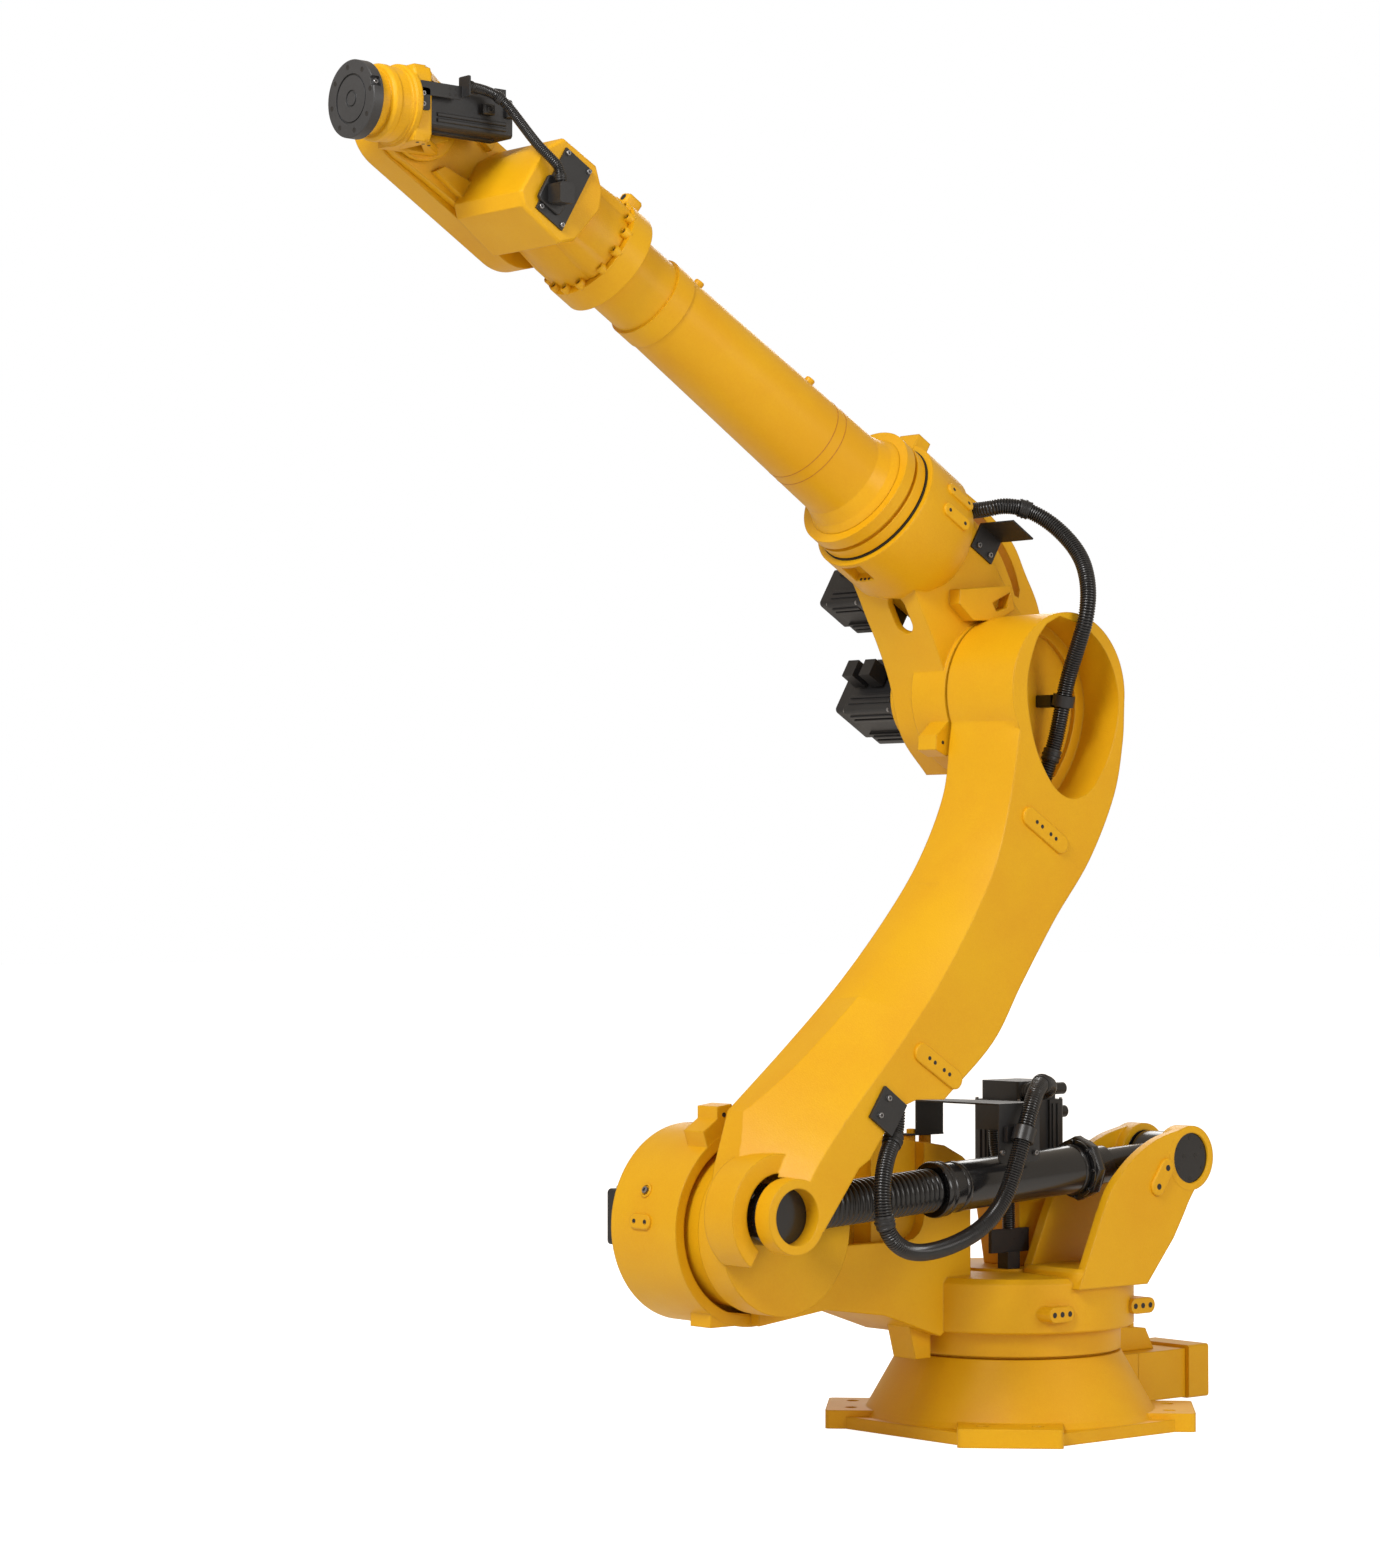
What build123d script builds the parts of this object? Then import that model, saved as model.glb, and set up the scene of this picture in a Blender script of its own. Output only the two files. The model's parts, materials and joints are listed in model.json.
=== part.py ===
from build123d import *
from math import cos, pi, radians, sin, tan
import os

os.makedirs("parts", exist_ok=True)

# Six-axis industrial arm with a low base and a spring balancer, in millimetres.
# X points forward, Y to the arm's left, Z up. The origin is on axis 1, at the floor.

# Kinematic frame, at the pose that the arm rests in
AXIS2_X = 650.0
AXIS2_Z = 392.0
LOWER_LENGTH = 1080.0
LOWER_LEAN = 31.6
ELBOW_RISE = 157.0
FOREARM_REACH = 1500.0
FOREARM_PITCH = 31.0
WRIST_REACH = 183.0

# Layers across the arm, from the near side at the left to the far side
NEAR_Y = 235.0
FORK_NEAR_Y = 200.0
BALANCER_Y = 159.0
HUB_Y = 118.0
HUB_T = 58.0
ARM_FAR_Y = 72.0
FLANGE3_Y = 66.0
ELBOW_NEAR_Y = 58.0
ELBOW_FAR_Y = -88.0
MOTOR3_Y = -125.0
MOTOR4_DROP = 118.0
RUNNING_GAP = 5.0
JOINT_GAP = 5.0
SEAT = 0.3
PIN_FIT = 0.08

# Base
PLATE_EDGE = 272.0
PLATE_T = 22.0
PAD_T = 33.0
PAD_OUT = 330.0
PAD_IN = 225.0
PAD_HALF = 92.0
PAD_CORNER = 9.0
CONE_R1 = 260.0
CONE_R2 = 200.0
CONE_TOP = 137.0
BOLT_R = 11.0
BOLT_OUT = 285.0
BOLT_HALF = 48.0
BOX_START = -272.0
BOX_END = -400.0
BOX_HALF = 62.0
BOX_TOP = 112.0
COVER_T = 54.0
STOP_HALF = 26.0

# Turret
DRUM_R = 223.6
DRUM_BOTTOM = 184.0
DRUM_TOP = 280.0
RIM_R = 104.0
RIM_T = 8.0
WALL_Y = 52.0
HOUSING_R = 170.0
HOUSING_Y = -14.0
HOUSING_FAR_Y = -139.0
STEP_Y = 30.0
STEP_R = 300.0
RECESS_R = 215.0
REDUCER_R = 138.0
EAR_X = -228.0
EAR_Z = 481.0
EAR_WEB = 19.0
EAR_BOSS = 36.0
EAR_R = 58.0
EAR_PIN_R = 45.0

# Lower arm
HUB_R = 146.0
HEAD_R = 141.0
HEAD_GROOVE = 12.0
PIN_X = 80.0
PIN_Z = 32.0
EYELET_R = 63.0
EYELET_HOLE_R = 47.0
RECESS_DEPTH = 95.0

# Motors
MOTOR_W = 118.0
MOTOR1_X = -25.0
MOTOR1_Z = 430.0
MOTOR1_CAP_HALF = 49.0

# Spring balancer, along its own axis from the rear pivot
BALANCER_R = 43.0
BALANCER_START = 226.0
BALANCER_END = 556.0
CAP_T = 24.0
CAP_R = 47.0
COLLAR_R = 52.0
COLLAR_T = 26.0
TAIL_R = 28.0
TAIL_PIN_R = 24.0
ROD_R = 22.0
ROD_SPARE = 60.0
BELLOWS_R = 38.0
BELLOWS_END = 860.0
EYE_R = 49.0
EYE_T = 64.0

# Forearm, along axis 4
HOUSING4_START = 195.0
HOUSING4_R = 130.0
RING_START = 383.0
RING_R = 117.0
RING_LEN = 50.0
TUBE_ROOT_R = 84.0
TUBE_R = 74.0
STEP_START = 961.0
STEP_LEN = 40.0
FRONT_START = 1094.0
FRONT_R = 97.0
FRONT_LEN = 45.0
NECK_R = 82.0
BLOCK_NEAR_Y = 110.0
BLOCK_FAR_Y = -66.0
WALL_T = 18.0
BELT_FAR_Y = -140.0
BELT_R = 80.0

# Wrist and tool flange
WRIST_R = 60.0
DISC5_R = 70.0
MOTOR6_W = 64.0
MOTOR6_BACK = 118.0
NECK6_R = 52.0
FLANGE_R = 62.5
FLANGE_T = 20.0
FLANGE_PCD = 110.0
FLANGE_HOLE_R = 4.5
FLANGE_HOLES = 8

# Hoses
HOSE_R = 15.0
ELBOW_HOSE_R = 14.5
WRIST_HOSE_R = 8.5
RISER_HOSE_R = 12.0

# Places worked out from the frame
AXIS3_X = AXIS2_X - LOWER_LENGTH * sin(radians(LOWER_LEAN))
AXIS3_Z = AXIS2_Z + LOWER_LENGTH * cos(radians(LOWER_LEAN))
ALONG = Vector(cos(radians(FOREARM_PITCH)), 0, sin(radians(FOREARM_PITCH)))
ABOVE = Vector(-sin(radians(FOREARM_PITCH)), 0, cos(radians(FOREARM_PITCH)))
AXIS3 = Vector(AXIS3_X, 0, AXIS3_Z)
AXIS4 = AXIS3 + ABOVE * ELBOW_RISE
AXIS5 = AXIS4 + ALONG * FOREARM_REACH
FRONT_PIN = Vector(AXIS2_X + PIN_X, 0, AXIS2_Z + PIN_Z)
REAR_PIN = Vector(EAR_X, 0, EAR_Z)
BALANCER_LENGTH = (FRONT_PIN - REAR_PIN).length
REDUCER_Y = HUB_Y - HUB_T - RUNNING_GAP
AXIS2 = Vector(AXIS2_X, 0, AXIS2_Z)
ORIGIN = Vector(0, 0, 0)


def side(y, origin=ORIGIN):
    """Plane at Y = y that is drawn in X and Z and extruded away to the far side."""
    return Plane(origin=(origin.X, y, origin.Z), x_dir=(1, 0, 0), z_dir=(0, -1, 0))


def elbow_side(y, origin=AXIS3):
    """The same, turned with the forearm: x runs along it and y is square to it."""
    return Plane(origin=(origin.X, y, origin.Z), x_dir=tuple(ALONG), z_dir=(0, -1, 0))


def balancer_side(y):
    """The same, from the rear pivot along the balancer."""
    run = FRONT_PIN - REAR_PIN
    return Plane(origin=(EAR_X, y, EAR_Z), x_dir=(run.X, 0, run.Z), z_dir=(0, -1, 0))


def across(distance, origin=AXIS4):
    """Plane square to axis 4, at a distance along it."""
    return Plane(origin=tuple(origin + ALONG * distance), x_dir=(0, 1, 0), z_dir=tuple(ALONG))


def facing(x, origin=AXIS5):
    """Plane square to axis 6, at a distance in front of axis 5."""
    return Plane(origin=(origin.X + x, 0, origin.Z), x_dir=(0, 1, 0), z_dir=(1, 0, 0))


def cylinder(plane, radius, height, mode=Mode.ADD):
    """Round boss or bore that stands on a plane of the part being built."""
    with BuildSketch(plane) as disc:
        Circle(radius)
    extrude(disc.sketch, amount=height, mode=mode)


def motor(plane, width, body, cap, groove=5.0):
    """Servo drive: flange plate, body with a groove down each side, and a smaller rear cap."""
    with BuildSketch(plane) as flange:
        RectangleRounded(width + 10, width + 10, 8)
    extrude(flange.sketch, amount=14)
    with BuildSketch(plane) as square:
        RectangleRounded(width, width, 10)
        with PolarLocations(width / 2, 4):
            Rectangle(2 * groove, width / 3, mode=Mode.SUBTRACT)
    extrude(square.sketch, amount=body)
    with BuildSketch(plane.offset(body)) as rear:
        RectangleRounded(width - 20, width - 20, 8)
    extrude(rear.sketch, amount=cap)


def hose_line(points):
    """Straight runs joined by arcs as large as the shorter run beside each corner allows."""
    corners = [Vector(*p) for p in points]
    radii = []
    for before, here, after in zip(corners, corners[1:], corners[2:]):
        turn = (here - before).get_angle(after - here)
        shorter = min((here - before).length, (after - here).length)
        radii.append(0.45 * shorter / tan(radians(turn) / 2))
    print("hose radii", [round(r) for r in radii])
    return FilletPolyline(*corners, radius=radii)


def hose(points, radius):
    """Tube along such a line, inside the part being built."""
    with BuildLine() as path:
        hose_line(points)
    with BuildSketch(Plane(origin=path.line @ 0, z_dir=path.line % 0)) as section:
        Circle(radius)
    sweep(section.sketch, path=path.line)


# Base: bolt-down plate with four corner pads, under a cone
with BuildPart() as base_casting:
    with BuildSketch():
        Rectangle(2 * PLATE_EDGE, 2 * PLATE_EDGE)
        chamfer(vertices(), 2 * PLATE_EDGE - (PAD_OUT - 2 * PAD_CORNER) * 2**0.5)
    extrude(amount=PLATE_T)
    with BuildSketch():
        with PolarLocations((PAD_IN + PAD_OUT) / 2, 4, 45):
            RectangleRounded(PAD_OUT - PAD_IN, 2 * PAD_HALF, PAD_CORNER)
    extrude(amount=PAD_T)
    with BuildSketch(Plane.XZ):
        with BuildLine():
            Polyline((0, PLATE_T), (0, CONE_TOP), (CONE_R2, CONE_TOP))
            FilletPolyline((CONE_R2, CONE_TOP), (CONE_R1, PLATE_T + 10), (CONE_R1 + 8, PLATE_T), radius=4)
            Line((CONE_R1 + 8, PLATE_T), (0, PLATE_T))
        make_face()
    revolve(axis=Axis.Z)
    with BuildSketch(Plane.YZ.offset(BOX_START)):
        with Locations((0, (PLATE_T + BOX_TOP) / 2)):
            Rectangle(2 * BOX_HALF, BOX_TOP - PLATE_T)
    extrude(amount=CONE_R2 / 2)
    with BuildSketch(Plane.XY.offset(PAD_T)):
        with PolarLocations(BOLT_OUT, 4, 45):
            with GridLocations(1, 2 * BOLT_HALF, 1, 2):
                Circle(BOLT_R)
    extrude(amount=-PAD_T, mode=Mode.SUBTRACT)

# Cable entry box on the back of the base, its end plate and the one connector on that
with BuildPart() as base_cable_box:
    with BuildSketch(Plane.YZ.offset(BOX_START - SEAT)):
        with Locations((0, (PLATE_T + BOX_TOP) / 2)):
            Rectangle(2 * BOX_HALF, BOX_TOP - PLATE_T)
    extrude(amount=BOX_END - BOX_START + SEAT)

with BuildPart() as base_end_plate:
    with BuildSketch(Plane.YZ.offset(BOX_END - SEAT)):
        with Locations((0, (PLATE_T + BOX_TOP) / 2 + 2)):
            RectangleRounded(2 * BOX_HALF + 16, BOX_TOP - PLATE_T + 8, 6)
    extrude(amount=-COVER_T)

with BuildPart() as base_connector:
    with BuildSketch(Plane.YZ.offset(BOX_END - SEAT - COVER_T)):
        with Locations((0, 78)):
            RectangleRounded(52, 36, 4)
    extrude(amount=-16)
    with BuildSketch(Plane.YZ.offset(BOX_END - SEAT - COVER_T - 16)):
        with Locations((0, 78)):
            RectangleRounded(38, 24, 4)
    extrude(amount=-18)

# Stop block that the turret's stop leg meets at either end of axis 1
with BuildPart() as axis1_stop_block:
    with BuildSketch(side(STOP_HALF)):
        with BuildLine():
            Polyline((-262, BOX_TOP + SEAT), (-352, BOX_TOP + SEAT), (-330, 152), (-262, 158), close=True)
        make_face()
    extrude(amount=2 * STOP_HALF)

# Turret: drum on axis 1, forward arm with the axis 2 housing, rear ears for the balancer
with BuildPart() as turret_casting:
    with BuildSketch(Plane.XZ):
        with BuildLine():
            Polyline(
                (0, CONE_TOP + SEAT), (CONE_R2 - 10, CONE_TOP + SEAT), (CONE_R2 - 10, CONE_TOP + JOINT_GAP),
                (CONE_R2, CONE_TOP + JOINT_GAP), (CONE_R2, DRUM_BOTTOM),
                (DRUM_R, DRUM_BOTTOM), (DRUM_R, DRUM_TOP), (RIM_R, DRUM_TOP + 4),
                (RIM_R, DRUM_TOP + RIM_T), (0, DRUM_TOP + RIM_T), close=True,
            )
        make_face()
    revolve(axis=Axis.Z)
    with BuildSketch(side(WALL_Y)):
        with BuildLine():
            Polyline(
                (150, 212), (560, 236), (AXIS2_X, AXIS2_Z - HOUSING_R), (AXIS2_X, AXIS2_Z + HOUSING_R),
                (560, 556), (340, 518), (215, 492), (200, DRUM_TOP), (150, DRUM_TOP), close=True,
            )
        make_face()
    extrude(amount=WALL_Y - HOUSING_FAR_Y)
    with BuildSketch(side(STEP_Y)):
        with Locations((AXIS2_X, AXIS2_Z)):
            Circle(HOUSING_R)
    extrude(amount=STEP_Y - HOUSING_FAR_Y)
    for start, end, radius in ((WALL_Y, STEP_Y, STEP_R), (STEP_Y, HOUSING_Y, RECESS_R)):
        with BuildSketch(side(start)):
            with Locations((AXIS2_X, AXIS2_Z)):
                Circle(radius)
        extrude(amount=start - end, mode=Mode.SUBTRACT)
    cylinder(side(REDUCER_Y, AXIS2), REDUCER_R, REDUCER_Y - HOUSING_Y)
    cylinder(side(HUB_Y - HUB_T - SEAT, AXIS2), REDUCER_R - 30, RUNNING_GAP)
    for face, web_start in ((NEAR_Y, NEAR_Y), (BALANCER_Y * 2 - NEAR_Y + EAR_BOSS, BALANCER_Y * 2 - NEAR_Y + EAR_WEB)):
        with BuildSketch(side(web_start)):
            with BuildLine():
                Polyline((60, DRUM_TOP - 20), (49, 310), (10, 391), (-80, 493), (-150, 524), (EAR_X, EAR_Z + 50),
                         (-259, 440), (-224, 424), (-176, 354), (-110, 262), close=True)
            make_face()
        extrude(amount=EAR_WEB)
        with BuildSketch(side(face)):
            with Locations((EAR_X, EAR_Z)):
                Circle(EAR_R)
        extrude(amount=EAR_BOSS)
        with BuildSketch(side(face)):
            with Locations((EAR_X, EAR_Z)):
                Circle(EAR_PIN_R)
        extrude(amount=EAR_BOSS, mode=Mode.SUBTRACT)
    with BuildSketch(Plane.XY.offset(262)):
        with Locations((-25, NEAR_Y - 75)):
            Rectangle(170, 150)
    extrude(amount=DRUM_TOP + 16 - 262)
    with BuildSketch(side(28)):
        with BuildLine():
            Polyline((190, 240), (290, 240), (262, 138), (226, 138), (226, 180), (205, 190), close=True)
        make_face()
    extrude(amount=56)
    with BuildSketch(Plane.XY.offset(470)):
        with Locations((212, 0), (250, 0)):
            Circle(11)
    extrude(amount=60)

# Pivot of the balancer: a pin with a disc in each ear
with BuildPart() as balancer_rear_pin:
    for face in (NEAR_Y - 4, BALANCER_Y * 2 - NEAR_Y + EAR_BOSS):
        cylinder(side(face, REAR_PIN), EAR_PIN_R - PIN_FIT, EAR_BOSS - 4)
    cylinder(side(NEAR_Y - EAR_BOSS, REAR_PIN), TAIL_PIN_R, 2 * (NEAR_Y - EAR_BOSS - BALANCER_Y))

# Axis 1 drive on its pedestal
with BuildPart() as axis1_pedestal:
    with BuildSketch(Plane.XY.offset(DRUM_TOP + RIM_T + SEAT)):
        with Locations((MOTOR1_X, 0)):
            Rectangle(90, 90)
    with BuildSketch(Plane.XY.offset(MOTOR1_Z - 25)):
        with Locations((MOTOR1_X, 0)):
            Rectangle(MOTOR_W - 6, MOTOR_W - 6)
    loft()
    with BuildSketch(Plane.XY.offset(MOTOR1_Z - 25)):
        with Locations((MOTOR1_X, 0)):
            RectangleRounded(MOTOR_W + 16, MOTOR_W + 16, 8)
    extrude(amount=25)

with BuildPart() as axis1_motor:
    motor(Plane(origin=(MOTOR1_X, 0, MOTOR1_Z + SEAT)), MOTOR_W, 155, 34)

with BuildPart() as axis1_connectors:
    with Locations((MOTOR1_X + MOTOR_W / 2 + 26 + SEAT, 30, 560)):
        Box(52, 56, 50)
    for z, length in ((602, 52), (560, 46)):
        reach = MOTOR1_CAP_HALF if z > 590 else MOTOR_W / 2
        with Locations(Location((MOTOR1_X - reach - SEAT, 12, z), (0, -90, 0))):
            Cylinder(11, length, align=(Align.CENTER, Align.CENTER, Align.MIN))

# Axis 2 drive, on the far face of the housing
with BuildPart() as axis2_motor:
    motor(side(HOUSING_FAR_Y - SEAT, AXIS2), MOTOR_W, 120, 36)

with BuildPart() as axis2_connectors:
    for offset in (-26, 26):
        with Locations((AXIS2_X + offset, HOUSING_FAR_Y - 100, AXIS2_Z - MOTOR_W / 2 - 19)):
            Box(34, 44, 37)

# Bent cable bracket: foot on the turret, riser, tray over the balancer, plate at the near side
TRAY_Z = 590.0
TRAY_T = 3.0
HANG_Y = 210.0
with BuildPart() as turret_cable_bracket:
    with BuildSketch(Plane.XY.offset(530 + SEAT)):
        with Locations((222, 0)):
            Rectangle(84, 30)
    extrude(amount=TRAY_T)
    with BuildSketch(Plane.XZ.offset(-14)):
        with Locations((213, (530 + TRAY_Z) / 2)):
            Rectangle(66, TRAY_Z - 530 - SEAT)
    extrude(amount=TRAY_T)
    with BuildSketch(Plane.XY.offset(TRAY_Z)):
        with BuildLine():
            Polyline((180, 11), (246, 11), (236, HANG_Y), (136, HANG_Y), close=True)
        make_face()
    extrude(amount=TRAY_T)
    with BuildSketch(Plane.XZ.offset(-HANG_Y)):
        with Locations((186, (490 + TRAY_Z + TRAY_T) / 2)):
            Rectangle(100, TRAY_Z + TRAY_T - 490)
        fillet(vertices().group_by(Axis.Y)[0], 10)
    extrude(amount=TRAY_T)

with BuildPart() as turret_cable_guide:
    with Locations((62, 60, 338)):
        Box(94, 8, 42)
    with Locations((62, 60, DRUM_TOP + RIM_T + SEAT + 15)):
        Box(30, 26, 30)

RISER_POINTS = ((62, 60, 359.3), (62, 60, 404), (68, 62, 450), (82, 46, 492), (82, 46, 534.7))
with BuildPart() as turret_riser_hose:
    hose(RISER_POINTS, RISER_HOSE_R)

LOWER_POINTS = (
    (8, 49.3, 601), (8, 92, 601), (36, 138, 612), (88, 180, 624), (142, 214, 624), (184, 237, 590),
    (226, 242, 490), (256, 243, 428), (312, 245, 382), (402, 247, 354), (490, 251, 350), (548, 255, 386),
    (558, 253, 452), (534, 238, 512), (488, 217.5, 554), (488, 217.5, 592),
)
with BuildPart() as lower_hose:
    hose(LOWER_POINTS, HOSE_R)


def clip(start, end, radius, length):
    """Ring round the middle of a hose's run from start to end."""
    start, end = Vector(*start), Vector(*end)
    with BuildSketch(Plane(origin=(start + end) * 0.5, z_dir=end - start)) as ring:
        Circle(radius + 5)
        Circle(radius + SEAT, mode=Mode.SUBTRACT)
    extrude(ring.sketch, amount=length / 2, both=True)


with BuildPart() as turret_hose_clamp:
    clip(LOWER_POINTS[5], LOWER_POINTS[6], HOSE_R, 26)
    with BuildSketch(Plane.XZ.offset(-HANG_Y - TRAY_T - SEAT)):
        with Locations((205, 539)):
            RectangleRounded(44, 30, 4)
    extrude(amount=-8)

# Lower arm: body with a chamfered front, hub, fork eyelet and the round head
ARM_SECTIONS = (
    (400, 796, 790, 123, 745, 690),
    (500, 778, 772, 125, 690, 590),
    (593, 737, 741, 131, 606, 506),
    (607, 730, 730, 132, 592, 392),
    (700, 618, 607, 145, 498, 275),
    (800, 498, 490, 148, 408, 205),
    (912, 377, 379, 150, 323, 122),
    (1016, 290, 295, 155, 264, 35),
    (1130, 228, 236, 170, 229, -28),
    (1225, 200, 220, 195, 210, -52),
    (AXIS3_Z, 190, 207, 208, 193, -56),
)
with BuildPart() as lower_arm_casting:
    for z, far_x, front_x, front_y, near_x, rear_x in ARM_SECTIONS:
        with BuildSketch(Plane.XY.offset(z)):
            with BuildLine():
                Polyline((rear_x, NEAR_Y), (near_x, NEAR_Y), (front_x, front_y), (far_x, ARM_FAR_Y + 30),
                         (far_x - 22, ARM_FAR_Y), (rear_x + 22, ARM_FAR_Y), (rear_x, ARM_FAR_Y + 22), close=True)
            make_face()
    loft(ruled=True)
    with BuildSketch(side(NEAR_Y, AXIS3)):
        Circle(HEAD_R)
    extrude(amount=NEAR_Y - ARM_FAR_Y)
    with BuildSketch(side(NEAR_Y)):
        with BuildLine():
            Polyline((504, 593), (566, 512), (623, 481), (672, 395), (690, 500), (600, 600), close=True)
        make_face()
        with Locations((FRONT_PIN.X, FRONT_PIN.Z)):
            Circle(EYELET_R)
    extrude(amount=NEAR_Y - FORK_NEAR_Y)
    with BuildSketch(side(FORK_NEAR_Y)):
        with Locations((FRONT_PIN.X, FRONT_PIN.Z)):
            Circle(EYELET_R + 2)
        with BuildLine():
            Polyline((745, 488), (560, 560), (250, 622), (250, 300), (900, 300), (900, 440), close=True)
        make_face()
    extrude(amount=FORK_NEAR_Y - HUB_Y, mode=Mode.SUBTRACT)
    with BuildSketch(side(HUB_Y)):
        with Locations((AXIS2_X, AXIS2_Z)):
            Circle(HUB_R)
    extrude(amount=HUB_T)
    with BuildSketch(side(NEAR_Y)):
        with BuildLine():
            ThreePointArc((107, 1445), (-8, 1385), (-45, 1320))
            ThreePointArc((-45, 1320), (-30, 1215), (20, 1144))
            ThreePointArc((20, 1144), (72, 1124), (133, 1156))
            ThreePointArc((133, 1156), (178, 1245), (187, 1330))
            ThreePointArc((187, 1330), (166, 1398), (107, 1445))
        make_face()
    extrude(amount=RECESS_DEPTH, mode=Mode.SUBTRACT)
    with BuildSketch(side(NEAR_Y)):
        with Locations((FRONT_PIN.X, FRONT_PIN.Z)):
            Circle(EYELET_HOLE_R)
    extrude(amount=NEAR_Y - FORK_NEAR_Y, mode=Mode.SUBTRACT)

with BuildPart() as balancer_front_pin:
    cylinder(side(NEAR_Y - 30, FRONT_PIN), EYELET_HOLE_R - PIN_FIT, NEAR_Y - 30 - FORK_NEAR_Y)

with BuildPart() as lower_hose_plate:
    with BuildSketch(side(NEAR_Y + 6 + SEAT)):
        with Locations(Location((528, 592), 35)):
            Rectangle(60, 62)
    extrude(amount=6)

ELBOW_POINTS = (
    (84, 172, 1160), (68, 180, 1212), (60, 188, 1264), (58, 204, 1334), (62, 236, 1396), (64, 260, 1448),
    (52, 252, 1506), (40, 220, 1560), (54, 172, 1612), (86, 134, 1642), (122, 114, 1648), (148, 92, 1640), (148, 58.3, 1640),
)
with BuildPart() as elbow_hose:
    hose(ELBOW_POINTS, ELBOW_HOSE_R)

with BuildPart() as arm_hose_clip:
    clip(ELBOW_POINTS[2], ELBOW_POINTS[3], ELBOW_HOSE_R + SEAT, 20)
    with BuildSketch(side(NEAR_Y - RECESS_DEPTH + SEAT, Vector(59, 0, 1299))):
        RectangleRounded(26, 22, 3)
    extrude(amount=-(196 - ELBOW_HOSE_R - 5 - NEAR_Y + RECESS_DEPTH))

# Elbow: axis 3 flange, body and the axis 4 housing
with BuildPart() as elbow_casting:
    with BuildSketch(elbow_side(ELBOW_NEAR_Y)):
        with BuildLine():
            Polyline((372, 71), (253, 28), (123, -7), (-9, -83), (-86, -114), (-140, 0), (-120, 120),
                     (-64, 215), (52, 262), (183, 287), (372, 287), close=True)
        make_face()
    extrude(amount=ELBOW_NEAR_Y - ELBOW_FAR_Y)
    cylinder(elbow_side(FLANGE3_Y), HEAD_R, FLANGE3_Y + 20)
    cylinder(elbow_side(ARM_FAR_Y - SEAT), HEAD_R - 30, ARM_FAR_Y)
    cylinder(elbow_side(0), 92, -MOTOR3_Y)
    with BuildSketch(elbow_side(0, AXIS4)):
        with BuildLine():
            Polyline(
                (HOUSING4_START, 0), (HOUSING4_START, HOUSING4_R / 2), (HOUSING4_START + 75, HOUSING4_R),
                (RING_START, HOUSING4_R), (RING_START, HOUSING4_R - 12), (RING_START, RING_R - 20),
                (RING_START + JOINT_GAP - SEAT, RING_R - 20), (RING_START + JOINT_GAP - SEAT, 0), close=True,
            )
        make_face()
    revolve(axis=Axis(tuple(AXIS4), tuple(ALONG)))
    with BuildSketch(elbow_side(0)):
        with Locations((180, 110)):
            Rectangle(124, 124)
    extrude(amount=MOTOR4_DROP)

with BuildPart() as axis3_motor:
    motor(elbow_side(MOTOR3_Y - SEAT), MOTOR_W, 140, 35)

with BuildPart() as axis3_connectors:
    for distance in (60, 105):
        with BuildSketch(elbow_side(MOTOR3_Y - distance)):
            with Locations((MOTOR_W / 2 + 20 + SEAT, 10)):
                Rectangle(40, 34)
        extrude(amount=28)

with BuildPart() as axis4_motor:
    motor(elbow_side(-MOTOR4_DROP - SEAT, AXIS3 + ALONG * 180 + ABOVE * 110), 100, 100, 32)

with BuildPart() as elbow_hose_bracket:
    with BuildSketch(elbow_side(ELBOW_NEAR_Y + 4 + SEAT)):
        with Locations((167, 216)):
            Rectangle(58, 50)
    extrude(amount=4)
    with BuildSketch(elbow_side(142)):
        with Locations((167, 239.5)):
            Rectangle(58, 3)
    extrude(amount=142 - ELBOW_NEAR_Y - SEAT)

with BuildPart() as elbow_far_bracket:
    with BuildSketch(elbow_side(-HOUSING4_R - SEAT)):
        with Locations((340, 150)):
            Rectangle(44, 60)
    extrude(amount=6)

# Forearm: root ring, turned tube and front ring
with BuildPart() as forearm_root_ring:
    with BuildSketch(elbow_side(0, AXIS4)):
        with BuildLine():
            start = RING_START + JOINT_GAP
            Polyline(
                (start, 0), (start, RING_R), (start + 20, RING_R), (start + 20, RING_R - 8),
                (start + 28, RING_R - 8), (start + 28, RING_R), (start + RING_LEN, RING_R),
                (start + RING_LEN, 0), close=True,
            )
        make_face()
    revolve(axis=Axis(tuple(AXIS4), tuple(ALONG)))

with BuildPart() as forearm_tube:
    with BuildSketch(elbow_side(0, AXIS4)):
        with BuildLine():
            start = RING_START + JOINT_GAP + RING_LEN + SEAT
            Polyline(
                (start, 0), (start, TUBE_ROOT_R + 16), (start + 14, TUBE_ROOT_R + 8), (start + 40, TUBE_ROOT_R),
                (STEP_START, TUBE_R), (STEP_START, TUBE_R + 2), (STEP_START + STEP_LEN, TUBE_R + 2),
                (STEP_START + STEP_LEN, TUBE_R - 3), (FRONT_START, TUBE_R - 3), (FRONT_START, 0), close=True,
            )
        make_face()
    revolve(axis=Axis(tuple(AXIS4), tuple(ALONG)))

with BuildPart() as forearm_front_ring:
    cylinder(across(FRONT_START + SEAT), FRONT_R, FRONT_LEN)

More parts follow.
